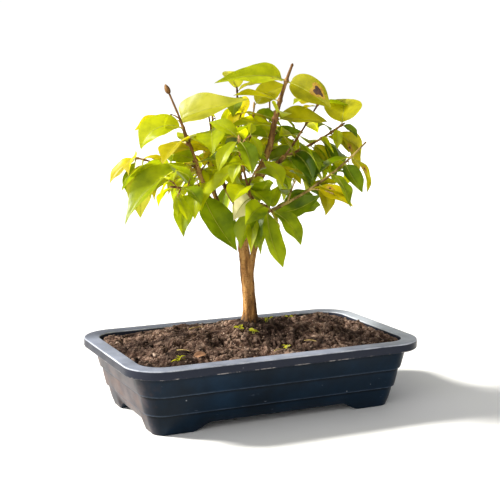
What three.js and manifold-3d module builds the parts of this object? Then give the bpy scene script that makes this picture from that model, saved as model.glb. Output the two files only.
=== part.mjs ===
// A surinam cherry bonsai in a stepped rectangular tray.
// Millimetres, +Z up. The origin is on the ground under the middle of the tray,
// X runs along the tray's long side and -Y faces the front.
import * as THREE from 'three';
import { mergeGeometries, mergeVertices } from 'three/addons/utils/BufferGeometryUtils.js';
import Module from 'manifold-3d';

const wasm = await Module();
wasm.setup();

// Tray
const TRAY_LENGTH = 240;
const TRAY_WIDTH = 146;
const TRAY_HEIGHT = 54;
const RIM_CORNER = 27;
const CORNER_SHRINK = 0.8;
const LEAST_CORNER = 4;
const CORNER_STEPS = 6;
const LIP_WIDTH = 11.6;
const RIM_BAND = 7;
const RIM_EDGE = 1.2;
const FLOOR_TOP = 9.5;
const FLOOR_INSET = 22;
const DRAIN_RADIUS = 6;
const DRAIN_SPACING = 110;
const DRAIN_SIDES = 12;

// Outer wall of the tray, lowest tier first: each leans out from its bottom to its top, and bulges
// at half height
const TIERS = [
  { bottom: 0, top: 16, bottomInset: 22, topInset: 17.7, bulge: 0.6 },
  { bottom: 16, top: 31, bottomInset: 15.8, topInset: 13, bulge: 0.2 },
  { bottom: 31, top: TRAY_HEIGHT - RIM_BAND, bottomInset: 11.4, topInset: 8, bulge: 0.2 },
];

// Arches between the feet: half width on the ground and at the top of the arch
const ARCH_HEIGHT = 6;
const ARCH_STEPS = 6;
const LONG_ARCH = { ground: 70, crown: 54 };
const SHORT_ARCH = { ground: 30, crown: 22 };

// How far a cutter reaches past the face that it cuts
const OVERCUT = 1;

// Soil: its mound rises ring by ring to a small flat under the trunk, and near says how far each ring's
// middle lies on the way from the tray's middle to the trunk's foot
const SOIL_EDGE = 49;
const SOIL_TOP = 60.4;
const SOIL_FLAT = 13;
const MOUND = [
  { inset: 24, height: 50.4, near: 0 },
  { inset: 38, height: 53, near: 0.3 },
  { inset: 52, height: 56.4, near: 0.8 },
];

// Clearance between neighbouring pieces
const CLEAR = 0.3;

// Trunk, from the flat cut at the ground to where its leafy leader begins, with its girth at both ends;
// it thins fastest near the ground
const TRUNK_FOOT = [5.5, 12.2];
const TRUNK_PATH = [
  [...TRUNK_FOOT, SOIL_TOP + CLEAR],
  [...TRUNK_FOOT, 73],
  [3.2, 13, 104],
  [0.5, 14, 128],
  [1.2, 14, 146],
  [6, 12, 162],
  [13, 9, 183],
  [20, 6, 203],
];
const TRUNK_GIRTH = { foot: 12, top: 5 };
const TRUNK_TAPER = 0.7;
const TRUNK_SIDES = 10;
const TRUNK_ROWS = 16;
const ROOT_FLARE = { extra: 1.7, height: 6 };

// Boughs: where each leaves the trunk, its tip, how far its middle bows out, and its girth at both ends
const BOUGHS = [
  { name: 'second_stem', at: 0.2, tip: [12, -4, 152], bow: [-2.2, 1.2, 2.9], girth: [5.4, 3.8] },
  { name: 'bough_left', at: 0.44, tip: [-30, 13, 164], bow: [0, -1, 1], girth: [5, 3.8] },
  { name: 'bough_inner', at: 0.49, tip: [-19, 28, 168], bow: [-2, 1, -4], girth: [4.6, 3.4] },
  { name: 'bough_front', at: 0.55, tip: [-4, -16, 159], bow: [-1, -2, 0], girth: [4, 3] },
  { name: 'bough_back_left', at: 0.59, tip: [0, 48, 168], bow: [0, 2, -1], girth: [4, 3] },
  { name: 'bough_mid', at: 0.69, tip: [5, 30, 178], bow: [0, 2, -2], girth: [3.8, 3] },
  { name: 'bough_back', at: 0.74, tip: [30, 38, 178], bow: [1, 2, -2], girth: [3.8, 3] },
  { name: 'bough_right', at: 0.84, tip: [32, 5, 194], bow: [0, 0, -1], girth: [3.6, 3] },
];
const BOUGH_SIDES = 8;
const BOUGH_ROWS = 6;

// Sprays: each is one stem with opposite pairs of leaves, every pair turned a quarter from the last.
// first and last are the fractions of the stem that bear its lowest and its highest pair, leaf is the
// usual length of a leaf there, and twigs counts the side twigs. shown lists the leaves that make the
// outline of the front: where each is set on the stem, its tip, its bend along its length, its roll, and
// wide where it is broader or narrower than usual.
const SPRAYS = [
  { name: 'spray_leader', on: 'trunk', tip: [35, -1, 264], bow: [-2, 0, 0], girth: [4.9, 2],
    pairs: 4, first: 0.08, last: 0.56, turn: 0, leaf: 42, twigs: 0, seed: 3,
    shown: [
      { at: 0.81, tip: [-25, 11, 251], bend: 46, roll: -24 },
      { at: 0.81, tip: [54, -30, 232], bend: 60, roll: 46, wide: 1.1 },
      { at: 0.33, tip: [64, -6, 221], bend: 40, roll: 24 },
      { at: 0.33, tip: [3, -2, 214], bend: 50, roll: -30 },
    ] },
  { name: 'spray_left_tall', on: 'bough_left', tip: [-55, 29, 244], bow: [2, 0, -1], girth: [3.6, 1.8],
    pairs: 3, first: 0.14, last: 0.55, turn: 20, leaf: 42, twigs: 0, seed: 5,
    shown: [
      { at: 0.34, tip: [-97, 13, 146], bend: 44, roll: -16 },
      { at: 0.66, tip: [-77, 32, 201], bend: 110, roll: -34 },
      { at: 0.46, tip: [-64, 24, 191], bend: 50, roll: -30 },
    ] },
  { name: 'spray_left_pale', on: 'bough_left', tip: [-42, 39, 223], bow: [0, 3, 0], girth: [3, 1.8],
    pairs: 3, first: 0.4, last: 0.98, turn: 60, leaf: 42, twigs: 0, seed: 7,
    shown: [
      { at: 0.98, tip: [2, 5, 239], bend: 36, roll: 38 },
    ] },
  { name: 'spray_left_far', on: 'bough_left', tip: [-74, 52, 193], bow: [1, 3, 5], girth: [2.8, 1.6],
    pairs: 4, first: 0.35, last: 1, turn: 30, leaf: 40, twigs: 2, seed: 11,
    shown: [
      { at: 0.98, tip: [-94, 58, 173], bend: 40, roll: -30 },
      { at: 0.9, tip: [-75, 41, 147], bend: 30, roll: 0 },
      { at: 0.72, tip: [-75, 36, 192], bend: 50, roll: -20 },
    ] },
  { name: 'spray_left_low', on: 'bough_left', tip: [-73, -22, 177], bow: [0, -3, 2], girth: [2.8, 1.6],
    pairs: 2, first: 0.45, last: 0.75, turn: 80, leaf: 30, twigs: 0, seed: 13,
    shown: [
      { at: 0.3, tip: [-68, -25, 148], bend: 40, roll: -24 },
      { at: 0.16, tip: [-20, -20, 126], bend: 30, roll: 24 },
      { at: 0.95, tip: [-79, -10, 161], bend: 50, roll: 0 },
    ] },
  { name: 'spray_inner_left', on: 'bough_inner', tip: [-22, 29, 226], bow: [2, 0, 0], girth: [2.8, 1.6],
    pairs: 4, first: 0.25, last: 0.8, turn: 10, leaf: 42, twigs: 2, seed: 19,
    shown: [
      { at: 0.5, tip: [-47, 50, 198], bend: 70, roll: -28 },
    ] },
  { name: 'spray_inner_tall', on: 'bough_mid', tip: [4, 33, 246], bow: [0, 0, 0], girth: [2.8, 1.6],
    pairs: 4, first: 0.25, last: 0.9, turn: 40, leaf: 40, twigs: 1, seed: 17,
    shown: [
      { at: 0.98, tip: [5, 56, 260], bend: 40, roll: 0, wide: 1.3 },
      { at: 0.72, tip: [-8, 19, 213], bend: 50, roll: 0 },
    ] },
  { name: 'spray_inner_right', on: 'bough_mid', tip: [17, 29, 234], bow: [3, 1, 0], girth: [2.6, 1.6],
    pairs: 3, first: 0.3, last: 0.85, turn: 20, leaf: 40, twigs: 1, seed: 61,
    shown: [
      { at: 0.98, tip: [38, 14, 249], bend: 40, roll: 60, wide: 1.3 },
    ] },
  { name: 'spray_right_long', on: 'second_stem', tip: [73, -48, 206], bow: [2, -2, -4], girth: [3.4, 1.6],
    pairs: 4, first: 0.2, last: 0.85, turn: 0, leaf: 38, twigs: 2, seed: 23,
    shown: [
      { at: 0.13, tip: [61, -2, 155], bend: 24, roll: 58, wide: 1.1 },
      { at: 0.5, tip: [57, -60, 160], bend: 50, roll: 30 },
      { at: 0.5, tip: [44, -41, 152], bend: 40, roll: 10 },
      { at: 0.78, tip: [66, -58, 170], bend: 40, roll: 10 },
    ] },
  { name: 'spray_right_up', on: 'bough_right', tip: [75, -11, 219], bow: [0, 0, -2], girth: [2.8, 1.6],
    pairs: 4, first: 0.25, last: 0.8, turn: 30, leaf: 40, twigs: 1, seed: 29,
    shown: [
      { at: 0.98, tip: [93, 16, 238], bend: 50, roll: 0, wide: 1.4 },
      { at: 0.9, tip: [66, -14, 200], bend: 60, roll: -10 },
      { at: 0.97, tip: [81, -23, 209], bend: 60, roll: 20 },
      { at: 0.3, tip: [50, -17, 180], bend: 60, roll: 20 },
      { at: 0.14, tip: [40, -28, 177], bend: 60, roll: 30 },
      { at: 0.62, tip: [67, -14, 177], bend: 40, roll: 10 },
      { at: 0.78, tip: [89, -18, 181], bend: 44, roll: 16 },
      { at: 0.84, tip: [92, 4, 190], bend: 44, roll: 0 },
    ] },
  { name: 'spray_right_tall', on: 'bough_right', tip: [64, 9, 235], bow: [0, 1, -2], girth: [2.6, 1.6],
    pairs: 3, first: 0.35, last: 0.98, turn: 70, leaf: 36, twigs: 0, seed: 31,
    shown: [
      { at: 0.98, tip: [52, 30, 241], bend: 40, roll: 0 },
    ] },
  { name: 'spray_front', on: 'bough_front', tip: [-2, -42, 158], bow: [0, 0, 3], girth: [2.8, 1.6],
    pairs: 2, first: 0.3, last: 0.7, turn: 100, leaf: 30, twigs: 1, seed: 37,
    shown: [
      { at: 0.75, tip: [2, -54, 117], bend: 30, roll: 0 },
      { at: 0.45, tip: [-12, -44, 128], bend: 36, roll: 10 },
      { at: 0.95, tip: [16, -55, 133], bend: 50, roll: 16, wide: 1.1 },
      { at: 0.12, tip: [-19, -24, 128], bend: 30, roll: -10 },
    ] },
  { name: 'spray_centre', on: 'bough_front', tip: [-17, -17, 211], bow: [-4, -5, 0], girth: [2.8, 1.6],
    pairs: 2, first: 0.3, last: 0.7, turn: 70, leaf: 34, twigs: 1, seed: 41,
    shown: [
      { at: 0.12, tip: [-34, -45, 153], bend: 40, roll: -50, wide: 0.9 },
      { at: 0.96, tip: [-15, -36, 185], bend: 60, roll: 10 },
      { at: 0.96, tip: [-35, -20, 186], bend: 60, roll: -10, wide: 0.8 },
      { at: 0.62, tip: [-37, -14, 171], bend: 40, roll: -20, wide: 0.9 },
      { at: 0.8, tip: [-48, -6, 200], bend: 50, roll: -20 },
      { at: 0.98, tip: [-33, 2, 222], bend: 40, roll: -16 },
    ] },
  { name: 'spray_back', on: 'bough_back', tip: [44, 46, 206], bow: [0, 2, 2], girth: [2.8, 1.6],
    pairs: 4, first: 0.25, last: 1, turn: 30, leaf: 38, twigs: 2, seed: 43, shown: [] },
  { name: 'spray_back_right', on: 'bough_back', tip: [72, 30, 196], bow: [0, 2, 3], girth: [2.8, 1.6],
    pairs: 4, first: 0.25, last: 1, turn: 30, leaf: 38, twigs: 2, seed: 53, shown: [] },
  { name: 'spray_back_tall', on: 'bough_back', tip: [34, 36, 238], bow: [3, 3, 0], girth: [2.6, 1.6],
    pairs: 4, first: 0.3, last: 1, turn: 50, leaf: 40, twigs: 1, seed: 59, shown: [] },
  { name: 'spray_back_left', on: 'bough_back_left', tip: [-34, 50, 190], bow: [0, 3, 2], girth: [2.6, 1.6],
    pairs: 4, first: 0.3, last: 1, turn: 10, leaf: 38, twigs: 2, seed: 47, shown: [] },
  { name: 'spray_back_low', on: 'bough_back_left', tip: [16, 56, 166], bow: [0, 0, 3], girth: [2.6, 1.6],
    pairs: 4, first: 0.3, last: 1, turn: 25, leaf: 38, twigs: 2, seed: 67, shown: [] },
  { name: 'spray_back_high', on: 'bough_back_left', tip: [-10, 50, 224], bow: [0, 3, 0], girth: [2.6, 1.6],
    pairs: 4, first: 0.3, last: 1, turn: 40, leaf: 40, twigs: 1, seed: 71, shown: [] },
];
const STEM_SIDES = 5;
const STEM_ROWS = 6;

// Leaf
const PETIOLE = 0.09;
const PETIOLE_WIDTH = 1.5;
const PETIOLE_THICKNESS = 1.6;
const BLADE_THICKNESS = 1;
const BLADE_RATIO = 0.5;
const BLADE_WIDEST = 0.46;
const BLADE_BASE_POWER = 0.62;
const BLADE_TIP_POWER = 0.72;
const BLADE_TIP_PINCH = 0.45;
const BLADE_PINCH_POWER = 6;
const BLADE_START = 0.07;
const LEAF_ROWS = [0, PETIOLE, 0.22, 0.46, 0.72, 0.9, 1];
const LEAF_OPEN = 62;
const LEAF_DROOP = 14;
const LEAF_BEND = 46;
const LEAF_FOLD = 18;
const LEAF_ROLL = 30;

// Seeded spread of each leaf about those sizes
const SPREAD = { turn: 18, droop: 14, bend: 22, roll: 16, length: 0.2, fold: 8 };

// Side twigs: their length, how far they open from the stem, and the size of their leaves
const TWIG_LENGTH = 22;
const TWIG_OPEN = 48;
const TWIG_TURN = 45;
const TWIG_BOW = [0, 0, 1];
const TWIG_GIRTH = [1.8, 1.4];
const TWIG_ROWS = 2;
const TWIG_LEAF = 0.86;
const TWIG_NODES = [0.5, 1];

// Other attitudes that a leaf tries, in turn, where the first one meets a neighbour
const NUDGES = [
  { heading: 0, pitch: 0, length: 1 },
  { heading: 0, pitch: -16, length: 1 },
  { heading: 20, pitch: 0, length: 1 },
  { heading: -20, pitch: 0, length: 1 },
  { heading: 0, pitch: 16, length: 1 },
  { heading: 32, pitch: -12, length: 0.85 },
  { heading: -32, pitch: -12, length: 0.85 },
  { heading: 0, pitch: -30, length: 0.75 },
];

// The space that the crown keeps to: over the tray, above a cone that rises outwards from its axis and
// below one that falls outwards
const CROWN = {
  axis: [2, 6],
  halfLength: 100,
  halfDepth: 73,
  low: 106,
  lowSlope: 0.5,
  high: 252,
  highSlope: 0.5,
};

// Finishes
const FINISH = {
  tray: { color: 0x1c2733, roughness: 0.45, metalness: 0 },
  soil: { color: 0x3a2a22, roughness: 0.95, metalness: 0 },
  bark: { color: 0x8a6238, roughness: 0.8, metalness: 0 },
  leaf: { color: 0x7f9a12, roughness: 0.4, metalness: 0 },
};

// Seeded numbers
const SEED_STEP = 7919;
const SEED_START = 104729;
const SEED_FACTOR = 16807;
const SEED_MODULUS = 2147483647;

const WELD = 1e-4;
const DEGREE = Math.PI / 180;
const UPRIGHT = 0.98;
const UP = new THREE.Vector3(0, 0, 1);
const ACROSS = new THREE.Vector3(1, 0, 0);

// A closed geometry as a solid: vertices are welded and collapsed triangles dropped
function toSolid(geometry) {
  const bare = new THREE.BufferGeometry();
  bare.setAttribute('position', geometry.getAttribute('position'));
  bare.setIndex(geometry.getIndex());
  const welded = mergeVertices(bare, WELD);
  const corners = welded.getIndex().array;
  const kept = [];
  for (let i = 0; i < corners.length; i += 3) {
    const [a, b, c] = corners.slice(i, i + 3);
    if (a !== b && b !== c && c !== a) kept.push(a, b, c);
  }
  const vertProperties = Float32Array.from(welded.getAttribute('position').array);
  const triVerts = Uint32Array.from(kept);
  return new wasm.Manifold(new wasm.Mesh({ numProp: 3, vertProperties, triVerts }));
}

// A solid as a named mesh with its finish
function toMesh(name, solid, finish) {
  const { vertProperties, triVerts } = solid.getMesh();
  const geometry = new THREE.BufferGeometry();
  geometry.setAttribute('position', new THREE.BufferAttribute(vertProperties, 3));
  geometry.setIndex(new THREE.BufferAttribute(triVerts, 1));
  geometry.computeVertexNormals();
  const mesh = new THREE.Mesh(geometry, new THREE.MeshStandardMaterial(finish));
  mesh.name = name;
  return mesh;
}

// A stack of rounded rectangles, bottom first, as one closed body
function stackedBody(rows) {
  const sides = 4 * CORNER_STEPS;
  const geometry = new THREE.CylinderGeometry(1, 1, 1, sides, rows.length - 1);
  const position = geometry.getAttribute('position');
  for (let i = 0; i < position.count; i++) {
    const row = rows[Math.round((position.getY(i) + 0.5) * (rows.length - 1))];
    const [cx, cy] = row.centre ?? [0, 0];
    if (Math.hypot(position.getX(i), position.getZ(i)) < WELD) {
      position.setXYZ(i, cx, cy, row.z);
      continue;
    }
    const angle = Math.atan2(position.getX(i), position.getZ(i));
    const step = (Math.round((angle / (2 * Math.PI)) * sides) + sides) % sides;
    const corner = Math.floor(step / CORNER_STEPS);
    const turn = (Math.PI / 2) * (corner + (step % CORNER_STEPS) / (CORNER_STEPS - 1));
    const signX = corner === 0 || corner === 3 ? 1 : -1;
    const signY = corner < 2 ? 1 : -1;
    const x = cx + signX * (row.halfX - row.radius) + row.radius * Math.cos(turn);
    const y = cy + signY * (row.halfY - row.radius) + row.radius * Math.sin(turn);
    position.setXYZ(i, x, y, row.z);
  }
  return toSolid(geometry);
}

// One row of such a stack, inset from the tray's rim
function insetRow(inset, z) {
  return {
    z,
    halfX: TRAY_LENGTH / 2 - inset,
    halfY: TRAY_WIDTH / 2 - inset,
    radius: Math.max(LEAST_CORNER, RIM_CORNER - CORNER_SHRINK * inset),
  };
}

// Inset of the tray's inner wall at a height
function innerInset(z) {
  const share = (z - FLOOR_TOP) / (TRAY_HEIGHT - FLOOR_TOP);
  return THREE.MathUtils.lerp(FLOOR_INSET, LIP_WIDTH, share);
}

// The opening under one pair of sides, between the feet
function archCut({ ground, crown }, depth) {
  const outline = new THREE.Shape();
  const bend = (ground - crown) / 2;
  outline.moveTo(-ground, -OVERCUT);
  outline.lineTo(ground, -OVERCUT);
  outline.lineTo(ground, 0);
  outline.bezierCurveTo(ground - bend, 0, crown + bend, ARCH_HEIGHT, crown, ARCH_HEIGHT);
  outline.lineTo(-crown, ARCH_HEIGHT);
  outline.bezierCurveTo(-crown - bend, ARCH_HEIGHT, -ground + bend, 0, -ground, 0);
  const settings = { depth, bevelEnabled: false, curveSegments: ARCH_STEPS };
  const geometry = new THREE.ExtrudeGeometry(outline, settings);
  geometry.translate(0, 0, -depth / 2);
  geometry.rotateX(Math.PI / 2);
  return geometry;
}

function tray() {
  const rows = TIERS.flatMap(({ bottom, top, bottomInset, topInset, bulge }) => [
    insetRow(bottomInset, bottom),
    insetRow((bottomInset + topInset) / 2 - bulge, (bottom + top) / 2),
    insetRow(topInset, top),
  ]);
  const band = TRAY_HEIGHT - RIM_BAND;
  rows.push(insetRow(RIM_EDGE / 2, band));
  rows.push(insetRow(0, band + RIM_EDGE));
  rows.push(insetRow(0, TRAY_HEIGHT - RIM_EDGE));
  rows.push(insetRow(RIM_EDGE, TRAY_HEIGHT));
  const inside = stackedBody([
    insetRow(FLOOR_INSET, FLOOR_TOP),
    insetRow(LIP_WIDTH, TRAY_HEIGHT),
    insetRow(LIP_WIDTH, TRAY_HEIGHT + OVERCUT),
  ]);
  const longCut = archCut(LONG_ARCH, TRAY_WIDTH);
  const shortCut = archCut(SHORT_ARCH, TRAY_LENGTH);
  shortCut.rotateZ(Math.PI / 2);
  let body = stackedBody(rows).subtract(inside);
  body = body.subtract(toSolid(longCut)).subtract(toSolid(shortCut));
  for (const side of [-1, 1]) {
    const drain = new THREE.CylinderGeometry(DRAIN_RADIUS, DRAIN_RADIUS, 2 * FLOOR_TOP, DRAIN_SIDES);
    drain.rotateX(Math.PI / 2);
    drain.translate((side * DRAIN_SPACING) / 2, 0, FLOOR_TOP);
    body = body.subtract(toSolid(drain));
  }
  return body;
}

function soil() {
  const rows = [
    insetRow(innerInset(FLOOR_TOP) + CLEAR, FLOOR_TOP + CLEAR),
    insetRow(innerInset(SOIL_EDGE) + CLEAR, SOIL_EDGE),
  ];
  for (const { inset, height, near } of MOUND) {
    const centre = TRUNK_FOOT.map((part) => near * part);
    rows.push({ ...insetRow(inset, height), centre });
  }
  rows.push({ z: SOIL_TOP, halfX: SOIL_FLAT, halfY: SOIL_FLAT, radius: SOIL_FLAT, centre: TRUNK_FOOT });
  return stackedBody(rows);
}

// A round limb along a curve; grow widens it and lengthens both ends
function limb(curve, radiusAt, sides, rows, grow = 0) {
  const geometry = new THREE.CylinderGeometry(1, 1, 1, sides, rows);
  const position = geometry.getAttribute('position');
  const frames = curve.computeFrenetFrames(rows, false);
  const place = new THREE.Vector3();
  for (let i = 0; i < position.count; i++) {
    const row = Math.round((position.getY(i) + 0.5) * rows);
    const share = row / rows;
    const end = row === 0 ? -grow : row === rows ? grow : 0;
    const radius = radiusAt(share) + grow;
    curve.getPointAt(share, place);
    place.addScaledVector(frames.tangents[row], end);
    place.addScaledVector(frames.normals[row], radius * position.getZ(i));
    place.addScaledVector(frames.binormals[row], radius * position.getX(i));
    position.setXYZ(i, place.x, place.y, place.z);
  }
  return toSolid(geometry);
}

function trunkRadius(share) {
  const length = TRUNK_PATH.at(-1)[2] - TRUNK_PATH[0][2];
  const flare = ROOT_FLARE.extra * Math.exp((-share * length) / ROOT_FLARE.height);
  return THREE.MathUtils.lerp(TRUNK_GIRTH.foot, TRUNK_GIRTH.top, share ** TRUNK_TAPER) / 2 + flare;
}

// A bowed curve from a point to a tip
function bowedCurve(start, tip, bow) {
  const end = new THREE.Vector3(...tip);
  const control = start.clone().add(end).multiplyScalar(0.5);
  control.addScaledVector(new THREE.Vector3(...bow), 2);
  return new THREE.QuadraticBezierCurve3(start, control, end);
}

// A repeatable stream of numbers from 0 to 1
function seeded(seed) {
  let state = seed * SEED_STEP + SEED_START;
  return () => {
    state = (state * SEED_FACTOR) % SEED_MODULUS;
    return state / SEED_MODULUS;
  };
}

// The way out of a stem at a node: open degrees from the stem, turned round it by turn degrees
function wayOut(curve, share, open, turn) {
  const along = curve.getTangent(share);
  const level = Math.abs(along.z) > UPRIGHT ? ACROSS.clone() : along.clone().cross(UP).normalize();
  const over = level.clone().cross(along);
  const away = level.multiplyScalar(Math.cos(turn * DEGREE));
  away.addScaledVector(over, Math.sin(turn * DEGREE));
  return along.multiplyScalar(Math.cos(open * DEGREE)).addScaledVector(away, Math.sin(open * DEGREE));
}

// A leaf by the rule: it leaves its stem at turn, droops, and rolls its face away from the crown's axis
function ruledLeaf(curve, share, turn, length, random) {
  const spread = (amount) => amount * (2 * random() - 1);
  const base = curve.getPoint(share);
  const aim = wayOut(curve, share, LEAF_OPEN, turn + spread(SPREAD.turn));
  const heading = Math.atan2(aim.y, aim.x);
  const [axisX, axisY] = CROWN.axis;
  const outward = Math.atan2(base.y - axisY, base.x - axisX);
  return {
    base,
    heading: heading / DEGREE,
    pitch: Math.asin(aim.z) / DEGREE - LEAF_DROOP + spread(SPREAD.droop),
    bend: LEAF_BEND + spread(SPREAD.bend),
    roll: -LEAF_ROLL * Math.sin(outward - heading) + spread(SPREAD.roll),
    length: length * (1 + spread(SPREAD.length)),
    fold: LEAF_FOLD + spread(SPREAD.fold),
    wide: 1,
  };
}

// A leaf whose tip is given: its heading, pitch and length follow from the chord to the tip
function shownLeaf(curve, shown) {
  const base = curve.getPoint(shown.at);
  const chord = new THREE.Vector3(...shown.tip).sub(base);
  const half = (shown.bend * DEGREE) / 2;
  return {
    base,
    heading: Math.atan2(chord.y, chord.x) / DEGREE,
    pitch: Math.asin(chord.z / chord.length()) / DEGREE + shown.bend / 2,
    bend: shown.bend,
    roll: shown.roll,
    length: (chord.length() * half) / Math.sin(half),
    fold: LEAF_FOLD,
    wide: shown.wide ?? 1,
  };
}

// Half width of a blade, from its base at 0 to its tip at 1
function bladeHalf(leaf, share) {
  const pinch = (q) => 1 - BLADE_TIP_PINCH * q ** BLADE_PINCH_POWER;
  const shape = (q) => q ** BLADE_BASE_POWER * (1 - q) ** BLADE_TIP_POWER * pinch(q);
  return ((leaf.length * BLADE_RATIO * leaf.wide) / 2) * (shape(share) / shape(BLADE_WIDEST));
}

// A point of a leaf: share runs from its root to its tip, side from -1 to 1, lift is off its face
function leafPoint(leaf, share, side, half, lift) {
  const heading = leaf.heading * DEGREE;
  const pitch = leaf.pitch * DEGREE;
  const bend = leaf.bend * DEGREE;
  const roll = leaf.roll * DEGREE;
  const fold = leaf.fold * DEGREE;
  const now = pitch - bend * share;
  const reach = (leaf.length * (Math.sin(pitch) - Math.sin(now))) / bend;
  const rise = (leaf.length * (Math.cos(now) - Math.cos(pitch))) / bend;
  const forward = new THREE.Vector3(Math.cos(heading), Math.sin(heading), 0);
  const left = new THREE.Vector3(-Math.sin(heading), Math.cos(heading), 0);
  const face = forward.clone().multiplyScalar(-Math.sin(now)).addScaledVector(UP, Math.cos(now));
  const width = left.clone().multiplyScalar(Math.cos(roll)).addScaledVector(face, Math.sin(roll));
  face.multiplyScalar(Math.cos(roll)).addScaledVector(left, -Math.sin(roll));
  const point = leaf.base.clone().addScaledVector(forward, reach).addScaledVector(UP, rise);
  point.addScaledVector(width, side * half * Math.cos(fold));
  return point.addScaledVector(face, Math.abs(side) * half * Math.sin(fold) + lift);
}

// One leaf: two sheets that meet along its edge; grow widens and thickens it, from starts it off its stem
function leafSolid(leaf, { grow = 0, from = 0 } = {}) {
  const rows = LEAF_ROWS.length - 1;
  const sheets = [1, -1].map((top) => {
    const sheet = new THREE.PlaneGeometry(2, 1, 2, rows);
    const position = sheet.getAttribute('position');
    for (let i = 0; i < position.count; i++) {
      const row = Math.round((0.5 - position.getY(i)) * rows);
      const side = Math.round(position.getX(i));
      const share = Math.max(from, LEAF_ROWS[row]);
      const pinched = row === 0 || row === rows;
      const blade = Math.max(0, (share - PETIOLE) / (1 - PETIOLE));
      const half = pinched ? 0 : Math.max(PETIOLE_WIDTH / 2, bladeHalf(leaf, blade)) + grow;
      const thick = row === 1 ? PETIOLE_THICKNESS : BLADE_THICKNESS;
      const lift = pinched || side !== 0 ? 0 : top * (thick / 2 + grow);
      const point = leafPoint(leaf, share, side, half, lift);
      position.setXYZ(i, point.x, point.y, point.z);
    }
    if (top === -1) sheet.index.array.reverse();
    return sheet;
  });
  return toSolid(mergeGeometries(sheets));
}

function boxesMeet(a, b) {
  return [0, 1, 2].every((axis) => a.min[axis] < b.max[axis] && b.min[axis] < a.max[axis]);
}

// Everything that has been placed, each with its clearance and the piece that it belongs to
const taken = [];

function take(owner, solid) {
  taken.push({ owner, solid, box: solid.boundingBox() });
}

function meets(solid, others) {
  const box = solid.boundingBox();
  return others.some((other) => boxesMeet(box, other.box) && !solid.intersect(other.solid).isEmpty());
}

// The largest body that is left of a solid once its neighbours' clearances are cut away
function cutClear(solid) {
  const box = solid.boundingBox();
  let left = solid;
  for (const other of taken) {
    if (boxesMeet(box, other.box)) left = left.subtract(other.solid);
  }
  return left.decompose().reduce((largest, body) => (body.volume() > largest.volume() ? body : largest));
}

// Whether a solid with its tip at a point lies in the crown's space
function inCrown(solid, tip) {
  const { min, max } = solid.boundingBox();
  const out = Math.hypot(tip.x - CROWN.axis[0], tip.y - CROWN.axis[1]);
  const along = Math.max(max[0], -min[0]) < CROWN.halfLength;
  const across = Math.max(max[1], -min[1]) < CROWN.halfDepth;
  const above = tip.z > CROWN.low + CROWN.lowSlope * out;
  return along && across && above && tip.z < CROWN.high - CROWN.highSlope * out;
}

// A leaf has room where it meets no other piece, and its blade no other leaf or twig of its own spray
function hasRoom(owner, leaf) {
  const strangers = taken.filter((other) => other.owner !== owner);
  const own = taken.filter((other) => other.owner === owner);
  return !meets(leafSolid(leaf), strangers) && !meets(leafSolid(leaf, { from: BLADE_START }), own);
}

const bonsai = new THREE.Group();
const curves = new Map();

function growTrunk() {
  const points = TRUNK_PATH.map((point) => new THREE.Vector3(...point));
  const curve = new THREE.CatmullRomCurve3(points, false, 'catmullrom', 0.5);
  curves.set('trunk', curve);
  take('trunk', limb(curve, trunkRadius, TRUNK_SIDES, TRUNK_ROWS, CLEAR));
  bonsai.add(toMesh('trunk', limb(curve, trunkRadius, TRUNK_SIDES, TRUNK_ROWS), FINISH.bark));
}

function growBough({ name, at, tip, bow, girth }) {
  const curve = bowedCurve(curves.get('trunk').getPoint(at), tip, bow);
  const radiusAt = (share) => THREE.MathUtils.lerp(...girth, share) / 2;
  curves.set(name, curve);
  bonsai.add(toMesh(name, cutClear(limb(curve, radiusAt, BOUGH_SIDES, BOUGH_ROWS)), FINISH.bark));
  take(name, limb(curve, radiusAt, BOUGH_SIDES, BOUGH_ROWS, CLEAR));
}

function growStem(spray) {
  const { name, on, tip, bow, girth } = spray;
  const curve = bowedCurve(curves.get(on).getPoint(1), tip, bow);
  const radiusAt = (share) => THREE.MathUtils.lerp(...girth, share) / 2;
  const body = cutClear(limb(curve, radiusAt, STEM_SIDES, STEM_ROWS));
  take(name, limb(curve, radiusAt, STEM_SIDES, STEM_ROWS, CLEAR));
  return { ...spray, curve, body };
}

// Fuses a leaf or twig to its spray, unless its root misses the stem
function fuse(spray, solid) {
  const joined = spray.body.add(solid);
  if (joined.decompose().length > 1) return false;
  spray.body = joined;
  return true;
}

// Sets a leaf on a spray in the first attitude that has room; a free leaf may leave the crown's space
function setLeaf(spray, wanted, free) {
  for (const nudge of NUDGES) {
    const leaf = {
      ...wanted,
      heading: wanted.heading + nudge.heading,
      pitch: wanted.pitch + nudge.pitch,
      length: wanted.length * nudge.length,
    };
    const solid = leafSolid(leaf);
    if (!free && !inCrown(solid, leafPoint(leaf, 1, 0, 0, 0))) continue;
    if (!hasRoom(spray.name, leaf)) continue;
    if (!fuse(spray, solid)) continue;
    take(spray.name, leafSolid(leaf, { grow: CLEAR }));
    return;
  }
}

function setShownLeaves(spray) {
  for (const shown of spray.shown) setLeaf(spray, shownLeaf(spray.curve, shown), true);
}

// The fraction of a spray's stem at a node, counted from its lowest pair
function nodeShare({ pairs, first, last }, node) {
  return THREE.MathUtils.lerp(first, last, node / (pairs - 1));
}

function setPairs(spray) {
  const { curve, pairs, turn, leaf } = spray;
  const random = seeded(spray.seed);
  for (let node = 0; node < pairs; node++) {
    for (const side of [0, 1]) {
      const faced = turn + 90 * node + 180 * side;
      setLeaf(spray, ruledLeaf(curve, nodeShare(spray, node), faced, leaf, random), false);
    }
  }
}

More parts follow.
